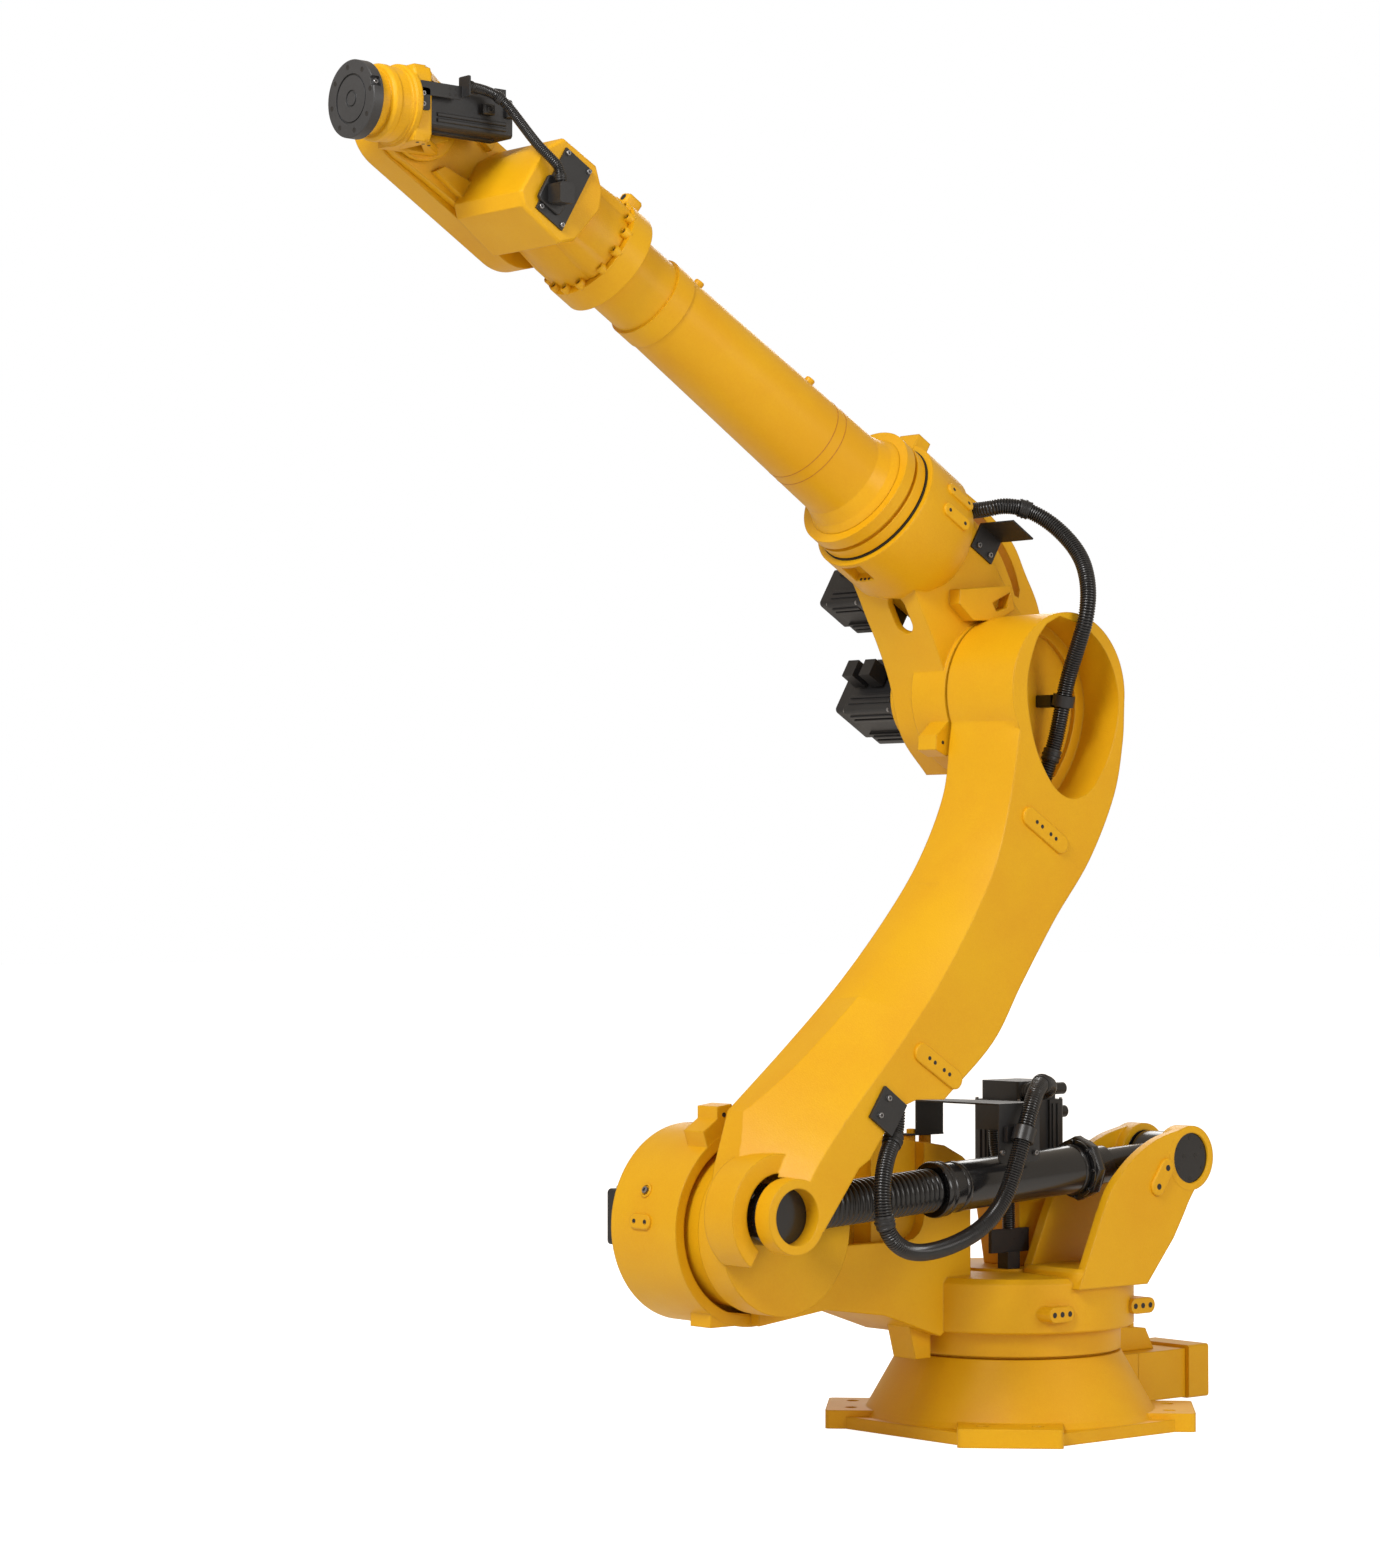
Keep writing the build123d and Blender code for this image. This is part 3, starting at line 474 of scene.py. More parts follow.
for near, boss_near in ((NEAR_EAR, NEAR_EAR), (FAR_EAR, FAR_EAR + 17)):
    turret_steps += [
        ("UNION", slab(ear_outline, near - 0.4, near - EAR_THICKNESS)),
        ("UNION", slab(circle(*EAR, 58, 64), boss_near, boss_near - 36)),
        ("DIFFERENCE", slab(circle(*EAR, 45.4, 64), boss_near + 1, boss_near - 37)),
    ]
turret_steps += [
    ("UNION", slab(rounded_box(61, 206, 123, 234, 13.9), 222, 150)),
    ("UNION", slab(rounded_box(-162, 206, -100, 234, 13.9), 206, 130)),
    ("UNION", slab([(190, 240), (290, 240), (262, 138), (226, 138), (226, 180), (205, 190)], 28, -28)),
    ("UNION", solid("studs", set_at(
        turned([(11, 470), (11, 530)]), *[(at(x, 0, 0), Z) for x in (212, 250)],
    ))),
]
turret_casting = shaped(
    solid("turret_body", set_at(turned([
        (190, 137.3), (190, 142), (200, 142), (200, 184), (220.6, 184), (223.6, 187), (223.6, 271),
        (214.6, 280), (150, 282), (108, 283), (104, 284), (104, 288),
    ], 128), (np.zeros(3), Z))), turret_steps,
)
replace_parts(finished(turret_casting, cast_paint, "turret"), "turret_casting")

ear_slope = aimed(X, -Z, 54)
ear_pad_place = at(-150, NEAR_EAR, 450)
ear_pad = blocky(37, 17, 16.5, [(0, -1), (0, 3), (1.5, 4.5)])
fitted("ear_pad", "turret", set_at(ear_pad, (ear_pad_place, Y, ear_slope)))
holes("ear_pad_holes", 5.5, "turret", *[
    (ear_pad_place + (Y * 4.6 + ear_slope * k) * MM, Y) for k in (-20, 20)
])
holes("finger_holes", 5.0, "turret", *[
    (at(x + k, y, 220), Y) for x, y in ((92, 222.1), (-131, 206.1)) for k in (-19, 0, 19)
])
DISC_CIRCLE = 0.037
near_disc, far_disc = at(EAR[0], 231.2, EAR[1]), at(EAR[0], 86.8, EAR[1])
holes("near_disc_holes", 3.6, "turret", *[
    (near_disc + aimed(Z, X, turn) * DISC_CIRCLE, Y) for turn in range(0, 360, 60)
], *[(near_disc + at(k, 0, 4), Y) for k in (-15, 15)])
holes("far_disc_holes", 3.6, "turret", *[
    (far_disc + aimed(Z, X, turn) * DISC_CIRCLE, -Y) for turn in range(0, 360, 60)
])


def housing_edge(degrees, depth):
    """Place on the rim of the axis 2 housing, so many degrees above forward, and the way out."""
    out = aimed(X, Z, degrees)
    return AXIS2 + (out * HOUSING2_RADIUS + Y * depth) * MM, out


housing_pad = blocky(27, 13, 12.5, [(0, -3), (0, 3), (1.2, 4.2)])
fitted("housing_pad", "turret", set_at(housing_pad, (*housing_edge(4, -60), Y)))
housing_pad_holes = [housing_edge(4, depth) for depth in (-74, -46)]
holes("housing_pad_holes", 4.2, "turret", *[(place + way * 0.0043, X) for place, way in housing_pad_holes])
plug_ring = turned([(13, -2), (13, 1.5), (11, 3), (9, 3), (8, -1)])
fitted("housing_plug_ring", "turret", set_at(plug_ring, housing_edge(22, -60)))
screws("housing_plug", 6.0, "turret", housing_edge(22, -60))
holes("rim_hole", 4.0, "turret", (at(712, 30.2, 584), Y))
screws("tray_foot_screws", 8.0, "turret", *[(at(x, 0, 533.4), Z) for x in (204, 246)], **PAINTED)

# Servo drives: die-cast housings with cooling steps along their sides, sprayed satin black. Each
# is held by four screws in its flange, and its rear cap by four small ones.
DRIVE_BLACK = (0.020, 0.021, 0.023)
drive_paint = coated("drive_paint", DRIVE_BLACK, (0.013, 0.013, 0.015), 0.44, 0.07, 0.0011, 0.00012,
                     0.4, 0.0015)
finish_nodes(drive_paint, "axis1_motor", "axis2_motor", "axis3_motor", "axis4_motor", "axis6_motor")
drive_seats = (
    ("axis1", "turret", at(-25, 0, 430.3), Z, X, 118, 155),
    ("axis2", "turret", AXIS2 - Y * 0.1393, -Y, X, 118, 120),
    ("axis3", "elbow", AXIS3 - Y * 0.1253, -Y, ALONG, 118, 140),
    ("axis4", "elbow", AXIS3 + ALONG * 0.180 + ABOVE * 0.110 - Y * 0.1183, -Y, ALONG, 100, 100),
)
DRIVE_FLANGE = 14
CORNERS = [(a, b) for a in (-1, 1) for b in (-1, 1)]
for name, body, seat, away, right, width, length in drive_seats:
    across, upward, away = square_to(away, right)
    for kind, radius, reach, run in (
        ("_flange_screws", 4.0, (width + 1) / 2, DRIVE_FLANGE),
        ("_cap_screws", 3.0, width / 2 - 5.5, length),
    ):
        screws(name + kind, radius, body, *[
            (seat + ((across * a + upward * b) * reach + away * run) * MM, away) for a, b in CORNERS
        ])
    sides = [(across, upward), (-across, upward), (upward, across), (-upward, across)]
    middle = seat + away * (length + DRIVE_FLANGE) / 2 * MM
    cooling_step = blocky(length / 2 - DRIVE_FLANGE, 3.2, 1.5, [(0, -3), (0, 2.2), (1, 3.2)])
    fitted(name + "_cooling_steps", body, set_at(cooling_step, *[
        (middle + (out / 2 + beside * share) * width * MM, out, away)
        for out, beside in sides for share in (-0.34, -0.24, 0.24, 0.34)
    ]), drive_paint, "black_paint")

# Connectors and the cable plates: moulded black plastic, and bent steel sheet with a matt powder
# coat. Plates are held by socket head screws.
sheet_black = coated("sheet_black", (0.020, 0.020, 0.021), (0.013, 0.013, 0.014), 0.5, 0.05, 0.0008,
                     0.00006, 0.3, 0.0006)
plug_plastic = coated("plug_plastic", (0.016, 0.016, 0.017), (0.010, 0.010, 0.011), 0.42, 0.06,
                      0.0009, 0.00008, 0.2, 0.0008)
finish_nodes(
    sheet_black, "turret_cable_bracket", "turret_cable_guide", "lower_hose_plate", "elbow_hose_bracket",
    "elbow_far_bracket", "wrist_gland_plate",
)
finish_nodes(
    plug_plastic, "axis1_connectors", "axis2_connectors", "axis3_connectors", "axis6_connectors",
    "turret_hose_clamp", "arm_hose_clip", "wrist_gland",
)
screws("hanging_plate_screws", 4.5, "turret", (at(232, 213.1, 509), Y), (at(150, 213.1, 506), Y))
holes("cable_guide_holes", 2.6, "turret", *[
    (at(x, 64.2, z), Y) for x, z in ((24, 330), (30, 350), (52, 340), (98, 352), (100, 326))
])

# Balancer: steel cylinder, caps and collar, sprayed glossy black. Rings mark the screwed caps, the
# collar has flats for a spanner and a circle of small screws, and the rod ends in a round eye on
# the pin of the lower arm.
turned_black = coated("turned_black", (0.012, 0.012, 0.013), (0.007, 0.007, 0.008), 0.26, 0.05,
                      0.004, 0.00002, 0.6, 0.0012, coat=0.3)
finish_nodes(
    turned_black, "balancer_cylinder", "balancer_front_cap", "balancer_collar", "balancer_tail",
    "balancer_rod", "balancer_rear_pin", "balancer_front_pin",
)
SLIDE = np.array(joints["balancer_slide"]["axis"])
REAR_PIVOT = np.array(joints["balancer_tilt"]["pos_m"])
COLLAR_FACE, COLLAR_CIRCLE = 0.226, 0.0485
balancer_rings = [
    turned([(43.5, 520), (44.6, 522), (44.6, 530), (43.5, 532)], 64),
    turned([(48.2, 558), (48.2, 562), (46.8, 564)], 64),
    turned([(48.2, 568), (48.8, 570), (48.8, 578), (47.4, 580)], 64),
    turned([(44.4, 228), (45.4, 230), (45.4, 236), (43.5, 238)], 64),
    turned([(30, 150), (34, 154), (34, 196), (30, 200)], 64),
]
fitted("balancer_rings", "balancer", [
    grid for ring in balancer_rings for grid in set_at(ring, (REAR_PIVOT, SLIDE))
], turned_black, "black_paint")
spanner_nut = turned([(56, 203, 8), (57.5, 205, 8), (57.5, 219, 8), (56, 221, 8)], 64)
fitted("collar_nut", "balancer", set_at(spanner_nut, (REAR_PIVOT, SLIDE, Z)), turned_black, "black_paint")
across, upward, _ = square_to(SLIDE, Y)
screws("collar_screws", 3.4, "balancer", *[
    (REAR_PIVOT + SLIDE * COLLAR_FACE + aimed(across, upward, turn) * COLLAR_CIRCLE, SLIDE)
    for turn in range(0, 360, 45)
], material=turned_black, slot="black_paint")
PIN = (730, 424)
front_pin = at(PIN[0], 0, PIN[1])
eye_shape = turned([(45, 122), (50, 123), (51.5, 126), (51.5, 182), (50, 185), (45, 186)], 96)
fitted("rod_eye_cover", "balancer_rod", set_at(eye_shape, (front_pin, Y)), turned_black, "black_paint")
eye_out = aimed(X, Z, 40)
screws("eye_screw", 5.5, "balancer_rod", (front_pin + Y * 0.166 + eye_out * 0.0480, eye_out))

# Lower arm: a hollow iron casting, wide at axis 2 and waisted above. Its front edge is planed
# off in one long bevel. The fork at its foot holds the balancer's pin, and a deep recess in the
# round head takes the hose down past axis 3.
arm_front = through([
    (124, 183), (285, 125), (431, 78), (585, 42), (718, 25), (845, 34), (935, 70), (1016, 105),
])
arm_back = through([
    (1140, -128), (1077, -161), (984, -191), (854, -197), (720, -177), (581, -165), (459, -157),
    (318, -107),
])
arm_outline = np.concatenate([
    [(-66, 123), (28, 160)], arm_front, [(1080, 120), (1150, 60), (1190, -40)], arm_back,
    [(285, -50), (247, -17), (124, 5), (0, 20)],
])
# Rows of the bevel: how far up the arm, where it leaves the near face, and the place and depth
# where it meets the front edge.
bevel_rows = through([
    (-80, 80, 118, 123), (60, 90, 168, 125), (194, 68, 158, 131), (342, 32, 105, 145), (474, 7, 66, 148),
    (614, -5, 38, 150), (734, -2, 25, 155), (849, 28, 35, 170), (940, 62, 73, 195), (1020, 93, 107, 209),
], 6)
NEAR = 235.0
near_edge = np.stack([bevel_rows[:, 1], np.full(len(bevel_rows), NEAR)], axis=1)
reach = np.stack([bevel_rows[:, 2], bevel_rows[:, 3]], axis=1) - near_edge
corners = np.stack([near_edge - 0.1 * reach, near_edge + 1.5 * reach,
                    near_edge + 1.5 * reach * (1, 0) + (60, 30)], axis=1)
bevel_cut = AXIS2 + (
    bevel_rows[:, None, :1] * ARM_UP + corners[..., :1] * ARM_FRONT + corners[..., 1:] * Y
) * MM
pear = np.concatenate([
    through([(107, 1445), (40, 1426), (-12, 1382), (-40, 1320), (-38, 1258), (-14, 1196), (20, 1148)], 5),
    through([(42, 1132), (72, 1124), (104, 1132), (133, 1156), (164, 1205), (184, 1270), (187, 1335),
             (166, 1398), (140, 1430)], 5),
])
pear_middle = np.array((72, 1300))
arm_steps = [
    ("DIFFERENCE", solid("bevel", [bevel_cut])),
    ("UNION", slab(circle(0, 0, 141, 128), NEAR, 72, (AXIS3, X, Z))),
    ("UNION", slab([(504, 593), (566, 512), (623, 481), (672, 395), (700, 480), (620, 580)], NEAR, 200)),
    ("UNION", slab(circle(*PIN, 63), NEAR, 200)),
    ("DIFFERENCE", slab([
        (700, 482), (660, 500), (560, 560), (250, 622), (250, 300), (560, 150), (900, 300), (960, 460),
        (800, 500),
    ], 200, 118)),
    ("UNION", slab(circle(*HOUSING2, 146, 128), 118, 60)),
    ("UNION", slab(circle(*PIN, 102), 188, 117)),
    ("DIFFERENCE", slab(circle(*PIN, 70), 189, 118)),
    ("DIFFERENCE", slab([(735, 424), (845, 260), (530, 250), (530, 530), (650, 512)], 189, 118)),
    ("DIFFERENCE", slab(circle(*PIN, 47.3), NEAR + 1, 199)),
    ("DIFFERENCE", slab(pear, NEAR + 1, 149)),
    ("DIFFERENCE", slab(pear_middle + (pear - pear_middle) * (0.80, 0.86), 150, 140)),
]
lower_arm = shaped(slab(arm_outline, NEAR, 72, ARM), arm_steps)
lower_arm.name = "lower_arm_body"
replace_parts(finished(lower_arm, cast_paint, "lower_arm"), "lower_arm_casting")
arm_pad = blocky(62, 17, 16.5, [(0, -1), (0, 3.6), (1.5, 5)])
pad_rows = [(on(ARM, s, n, NEAR), Y, ARM_FRONT) for s, n in ((358.5, -63.6), (839.3, -74.2))]
fitted("arm_pads", "lower_arm", set_at(arm_pad, *pad_rows))
holes("arm_pad_holes", 3.6, "lower_arm", *[
    (centre + (ARM_FRONT * k + Y * 5.1) * MM, Y)
    for centre, _, _ in pad_rows for k in (-27.5, -12.5, 12.5, 27.5)
])
plate_right = aimed(X, Z, 35)
plate_up = np.cross(plate_right, Y)
screws("arm_plate_screws", 5.0, "lower_arm", *[
    (at(528, 241.4, 592) + (plate_right * 14 + plate_up * k) * MM, Y) for k in (-17, 17)
])

# Elbow: an iron casting with the flange of axis 3 at its foot and the round housing of axis 4 at
# its top. Its front wall has an oval window, its far side is open round the axis 4 drive, and a
# thin rib with a long slot runs up its back.
belly = through([(-40, -139), (50, -112), (123, -46), (180, -6), (232, 24), (300, 62), (372, 80)])
elbow_outline = np.concatenate([
    belly, [(372, 250), (235, 236), (160, 212), (60, 168), (0, 150), (-64, 130), (-120, 80), (-134, -30)],
])
rib_outline = np.concatenate([
    through([(300, 289), (198, 297), (130, 295), (70, 284), (20, 257), (-48, 216), (-110, 140)]),
    [(-60, 100), (230, 200), (300, 240)],
])
slot_outline = np.concatenate([
    through([(200, 284), (150, 281), (96, 270), (50, 250), (14, 222)], 6), [(9, 208), (20, 206)],
    through([(40, 222), (92, 250), (150, 262), (200, 266)], 6),
])
HOUSING4_RADIUS, HOUSING_END = 130, 383.0
elbow_steps = [
    ("UNION", slab(rib_outline, 12, -16, ELBOW)),
    ("DIFFERENCE", slab(slot_outline, 60, -90, ELBOW)),
    ("UNION", slab(circle(0, 0, 141, 128), 66, -20, ELBOW)),
    ("UNION", slab(circle(0, 0, 111), 71.7, 60, ELBOW)),
    ("UNION", slab(circle(0, 0, 92), 0, -125, ELBOW)),
    ("UNION", solid("housing4", set_at(turned([
        (62, 198), (84, 214), (112, 244), (130, 284), (HOUSING4_RADIUS, HOUSING_END), (97, HOUSING_END),
        (97, HOUSING_END + 4.7),
    ], 128), (AXIS4, ALONG)))),
    ("UNION", slab(rounded_box(118, 48, 242, 172, 8), 0, -118, ELBOW)),
    ("DIFFERENCE", slab([
        (112, -32), (150, -12), (190, 14), (236, 42), (300, 78), (300, 100), (108, 100),
    ], 20, -130, ELBOW)),
    ("DIFFERENCE", solid("window", set_at(
        blocky(21, 37, 20.9, [(0, -10), (0, 95)], 9),
        (AXIS3 + ALONG * 0.262 - ABOVE * 0.024, ABOVE * 0.84 - ALONG * 0.54, Y),
    ))),
    ("DIFFERENCE", slab([
        (303, 84), (268, 92), (244, 108), (246, 170), (284, 222), (330, 236), (352, 200),
    ], 60, 51, ELBOW)),
    ("DIFFERENCE", slab([(334, 20), (374, 22), (382, 50), (368, 52), (336, 44)], 24, -22, ELBOW)),
    ("UNION", slab([(92, 99), (141, 67), (186, 73), (198, 96), (95, 172), (64, 141)], 84, 40, ELBOW)),
    ("DIFFERENCE", slab([(118, 120), (101, 112), (82, 134), (90, 161)], 86, 58, ELBOW)),
    ("UNION", slab([(34, -128), (60, -166), (88, -170), (100, -148), (84, -100)], 66, 20, ELBOW)),
    ("UNION", slab([(352, 250), (352, 306), (384, 306), (384, 250)], 34, -14, ELBOW)),
]
elbow_casting = shaped(slab(elbow_outline, 58, -88, ELBOW), elbow_steps)
elbow_casting.name = "elbow_body"
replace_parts(finished(elbow_casting, cast_paint, "elbow"), "elbow_casting")
def round_axis4(run, turn, radius):
    """Place and direction round axis 4, turned from the top towards the near side in degrees."""
    out = aimed(ABOVE, Y, turn)
    return AXIS4 + ALONG * run * MM + out * radius * MM, out


elbow_pad = blocky(34, 12, 11.5, [(0, -6), (0, 3), (1.2, 4.2)])
elbow_pad_places = [(*round_axis4(306, turn, HOUSING4_RADIUS), ALONG) for turn in (63, 83)]
fitted("elbow_pads", "elbow", set_at(elbow_pad, *elbow_pad_places))
holes("elbow_pad_holes", 3.4, "elbow", *[
    (centre + (ALONG * k + out * 4.3) * MM, out) for centre, out, _ in elbow_pad_places for k in (-21, 21)
])
plug_place = on(ELBOW, 285, 138, 51)
fitted("elbow_plug_ring", "elbow", set_at(plug_ring, (plug_place, Y)))
screws("elbow_plug", 6.0, "elbow", (plug_place, Y))
holes("notch_holes", 2.6, "elbow", *[(on(ELBOW, 336, 31, k), ALONG) for k in (-10, 0, 10)])
holes("foot_lug_holes", 3.2, "elbow", *[(on(ELBOW, t, h, 66.2), Y) for t, h in ((62, -142), (80, -150))])
screws("hose_bracket_screws", 5.0, "elbow", *[(on(ELBOW, t, 202, 62.4), Y) for t in (183, 151)])
holes("hose_bracket_holes", 2.6, "elbow", *[
    (on(ELBOW, t, 241.2, depth), ABOVE) for depth in (76, 128) for t in (150, 184)
])
seal_rubber = coated("seal_rubber", (0.008, 0.008, 0.008), (0.005, 0.005, 0.005), 0.6, 0.05, 0.002,
                     0.00002, 0.3, 0.0004)
seal_finish = {"material": seal_rubber, "slot": "black_plastic"}
foot_seal = turned([(112, 0.6), (133, 0.6), (134, 3), (112, 3)], 128)
top_seal = turned([(98, 0.3), (119, 0.3), (119, 3.6), (98, 3.6)], 128)
fitted("axis3_seal", "elbow", set_at(foot_seal, (AXIS3 + Y * 0.066, Y)), **seal_finish)
fitted("axis4_seal", "elbow", set_at(top_seal, (AXIS4 + ALONG * HOUSING_END * MM, ALONG)), **seal_finish)
far_gland = turned([(15, -4), (15, 6, 6), (12, 8), (12, 26), (9, 30), (6, 30), (5.5, 12)])
fitted("far_bracket_gland", "elbow", set_at(far_gland, (on(ELBOW, 352, 168, -136.3), -Y)), zinc,
       "black_plate")

# Forearm: a turned steel tube between two rings. Two fine joints run round it, studs on top carry
# a dress pack, and the front ring is held by a circle of screws in raised seats.
TUBE_START, TUBE_END, TUBE_ROOT, TUBE_TIP = 478.3, 961.0, 84.0, 74.0


def tube_radius(run):
    """Radius of the tube, which tapers evenly along axis 4."""
    return TUBE_ROOT + (TUBE_TIP - TUBE_ROOT) * (run - TUBE_START) / (TUBE_END - TUBE_START)


joint_bands = []
for run in (565, 587):
    sunk, proud = tube_radius(run) - 1, tube_radius(run) + 0.28
    band = turned([(sunk, -0.9), (proud, -0.7), (proud, 0.7), (sunk, 0.9)], 128)
    joint_bands += set_at(band, (AXIS4 + ALONG * run * MM, ALONG))
seam_paint = coated("seam_paint", (0.52, 0.20, 0.006), (0.46, 0.17, 0.005), 0.5, 0.04, 0.002,
                    0.00004, 0.3, 0.0003)
fitted("forearm_seams", "forearm", joint_bands, seam_paint)
stud = turned([(9, -4), (9, 6), (7.5, 8), (4, 8), (3.6, 2)], 24)
stud_places = [round_axis4(run, 22, tube_radius(run)) for run in (645, 935)]
fitted("forearm_studs", "forearm", set_at(stud, *stud_places), fine_paint)
RING_FACE, RING_CIRCLE = 1139.3, 88.5
screw_seat = turned([(9, -3), (9, 9), (7.6, 11), (5, 11), (4.6, 4)], 24)
ring_turns = [10, 38, 60, 82, 106, 130, 160, 182, 204, 226, 250, 280, 310, 338]
fitted("front_ring_seats", "forearm", set_at(screw_seat, *[
    (round_axis4(RING_FACE, turn, RING_CIRCLE)[0], ALONG) for turn in ring_turns
]))
screws("front_ring_screws", 4.2, "forearm", *[
    (round_axis4(RING_FACE + 4, turn, RING_CIRCLE)[0], ALONG) for turn in ring_turns
], material=dark_steel_and_hole_shade)
lug_shape = blocky(17, 13, 6, [(0, -8), (0, 14), (3, 18)])
lug_place, lug_out = round_axis4(1122, 12, 96)
fitted("lifting_lug", "forearm", set_at(lug_shape, (lug_place, lug_out, ALONG)))
holes("lifting_lug_hole", 6.0, "forearm", (lug_place + ALONG * 0.0171 + lug_out * 0.008, ALONG))

# Wrist housing: an aluminium casting. A softened box joins the front ring to a block with eight
# sides, and a wall behind it carries the belt case and the bearing of axis 5.
NECK_START = AXIS4 + ALONG * RING_FACE * MM
block_outline = [
    (-281, -1), (-269, 30), (-237, 58), (-160, 55), (-134, 12), (-131, -75), (-149, -92), (-241, -99),
    (-264, -76),
]
block_steps = [
    ("UNION", solid("neck", set_at(turned([(84, 0.3), (84, 60), (80, 110)], 96), (NECK_START, ALONG)))),
    ("UNION", solid("neck_box", set_at(
        blocky(72, 72, 26, [(0, 1), (0, 40), (6, 112)], 7), (NECK_START, ALONG, Y),
    ))),
    ("UNION", slab([(-275, -65), (0, -75), (0, 75), (-275, 63)], -66, -84, HOUSING)),
    ("UNION", slab(circle(0, 0, 76), -66, -84, HOUSING)),
    ("UNION", slab(circle(0, 0, 54), -61.3, -70, HOUSING)),
    ("UNION", slab([(-140, -62), (-66, -58), (-76, -40), (-140, -28)], -52, -70, HOUSING)),
    ("UNION", slab([(-140, 40), (-78, 52), (-70, 62), (-140, 66)], -52, -70, HOUSING)),
]
block_rows = np.array(block_outline, float)
block_middle = block_rows.mean(axis=0)
block_rings = [
    (block_middle + (block_rows - block_middle) * share, depth)
    for share, depth in ((1.0, -66), (1.0, 100), (0.985, 106), (0.95, 110))
]
block = solid("wrist_block", [np.stack([
    AXIS5 + (flat[:, :1] * ALONG + flat[:, 1:] * ABOVE + Y * depth) * MM for flat, depth in block_rings
])])
block = shaped(block, block_steps)
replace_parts(finished(block, cast_paint, "forearm"), "wrist_housing")
gland_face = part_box("wrist_gland_plate")[1].y
GLAND_PLATE_REACH, GLAND_REACH = (25, 54), (21, 20)
plate_middle = AXIS3 + ALONG * 1.300 + ABOVE * 0.137
plate_middle[1] = gland_face
gland_seat = np.array((1.152, gland_face, 2.086))
for name, radius, middle, (along, above) in (
    ("gland_plate_screws", 4.2, plate_middle, GLAND_PLATE_REACH),
    ("gland_screws", 3.2, gland_seat, GLAND_REACH),
):
    screws(name, radius, "forearm", *[
        (middle + (ALONG * a * along + ABOVE * b * above) * MM, Y) for a, b in CORNERS
    ])
gland_foot = blocky(26, 25, 8, [(0, -0.5), (0, 5), (1.5, 6.5)])
fitted("gland_foot", "forearm", set_at(gland_foot, (gland_seat, Y, ALONG)), plug_plastic, "black_plastic")

# Wrist: an aluminium yoke that turns on axis 5. Plates above and below the axis 6 drive, each
# with a window, meet a stepped neck that ends at the tool flange.
PLATE_FACE = 61.5


def flat_plate(points, low, high):
    """Prism of an outline in X and Y from axis 5, between two heights."""
    flat = np.array(points, float) * MM
    drawn = AXIS5 + flat[:, :1] * X + flat[:, 1:] * Y
    return solid("plate", [np.stack([drawn + Z * low * MM, drawn + Z * high * MM])])

yoke_steps = [
    ("UNION", solid("yoke_front", set_at(
        blocky(50, 62, 14, [(0, 60.2), (0, 90), (3, 93)], 3), (AXIS5, X, Y),
    ))),
    ("UNION", slab(circle(0, 0, 70, 96), -50, -61, WRIST)),
    ("UNION", slab([(92, -62), (92, 62), (40, 62), (-40, 36), (-40, -36), (40, -62)], -36, -50, WRIST)),
]
for low, high in ((-PLATE_FACE, 12 - PLATE_FACE), (PLATE_FACE - 12, PLATE_FACE)):
    yoke_steps += [
        ("UNION", flat_plate([(92, 46), (92, -50), (-16, -50), (-16, -34), (70, 46)], low, high)),
        ("DIFFERENCE", flat_plate([(58, 20), (58, -31), (14, -31)], low - 1, high + 1)),
    ]
yoke = solid("wrist_yoke", set_at(turned([
    (66, 88), (66, 98), (62, 99), (62, 104), (60, 105), (60, 124), (62, 126), (62, 136), (58, 141), (52, 141),
    (52, 158), (36, 158), (36, 162.7),
], 96), (AXIS5, X)))
yoke = shaped(yoke, yoke_steps)
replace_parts(finished(yoke, cast_paint, "wrist"), "wrist_casting")
holes("yoke_holes", 2.8, "wrist", *[
    (AXIS5 + at(x, y, -PLATE_FACE - 0.7), -Z) for x, y in ((78, 36), (62, 30), (46, 24))
])
bracket = solid("hose_bracket", [
    *set_at(blocky(13, 18, 4, [(0, 50.2), (0, 53.2)]), (AXIS5 + at(78, 0, 6), Y, X)),
    *set_at(blocky(43, 11, 3, [(0, 50.2), (0, 53.2)]), (AXIS5 + at(42, 0, 24), Y, X)),
    *set_at(blocky(14, 17, 3, [(0, -2), (0, 1)]), (AXIS5 + at(0, 58, 34), X, Y)),
])
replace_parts(finished(bracket, sheet_black, "wrist"), "wrist_hose_bracket")
screws("wrist_bracket_screws", 4.0, "wrist", *[(AXIS5 + at(80, 53.3, z), Y) for z in (14, -3)])
holes("wrist_bracket_holes", 2.2, "wrist", *[(AXIS5 + at(x, 53.4, z), Y) for x in (14, 26) for z in (19, 29)])
cooling_step = blocky(70, 3, 1.4, [(0, -2), (0, 2), (1, 3)])
fitted("axis6_cooling_steps", "wrist", set_at(cooling_step, *[
    (AXIS5 + at(-34, y, z), out, X)
    for y, z, out in ((32, -20, Y), (32, -11, Y), (0, -32, -Z), (-12, -32, -Z))
]), drive_paint, "black_paint")
fitted("axis6_sockets", "wrist", [
    *set_at(blocky(12, 9, 2, [(0, -1), (0, 10), (2, 12)]), (AXIS5 + at(-62, 32, 8), Y, X)),
    *set_at(blocky(7, 9, 2, [(0, -1), (0, 6), (1.5, 8)]), (AXIS5 + at(-108, 32, 8), Y, X)),
    *set_at(turned([(6, 11), (6, 14), (4.5, 15), (3.5, 13)], 24), (AXIS5 + at(-62, 32, 8), Y)),
], plug_plastic, "black_plastic")

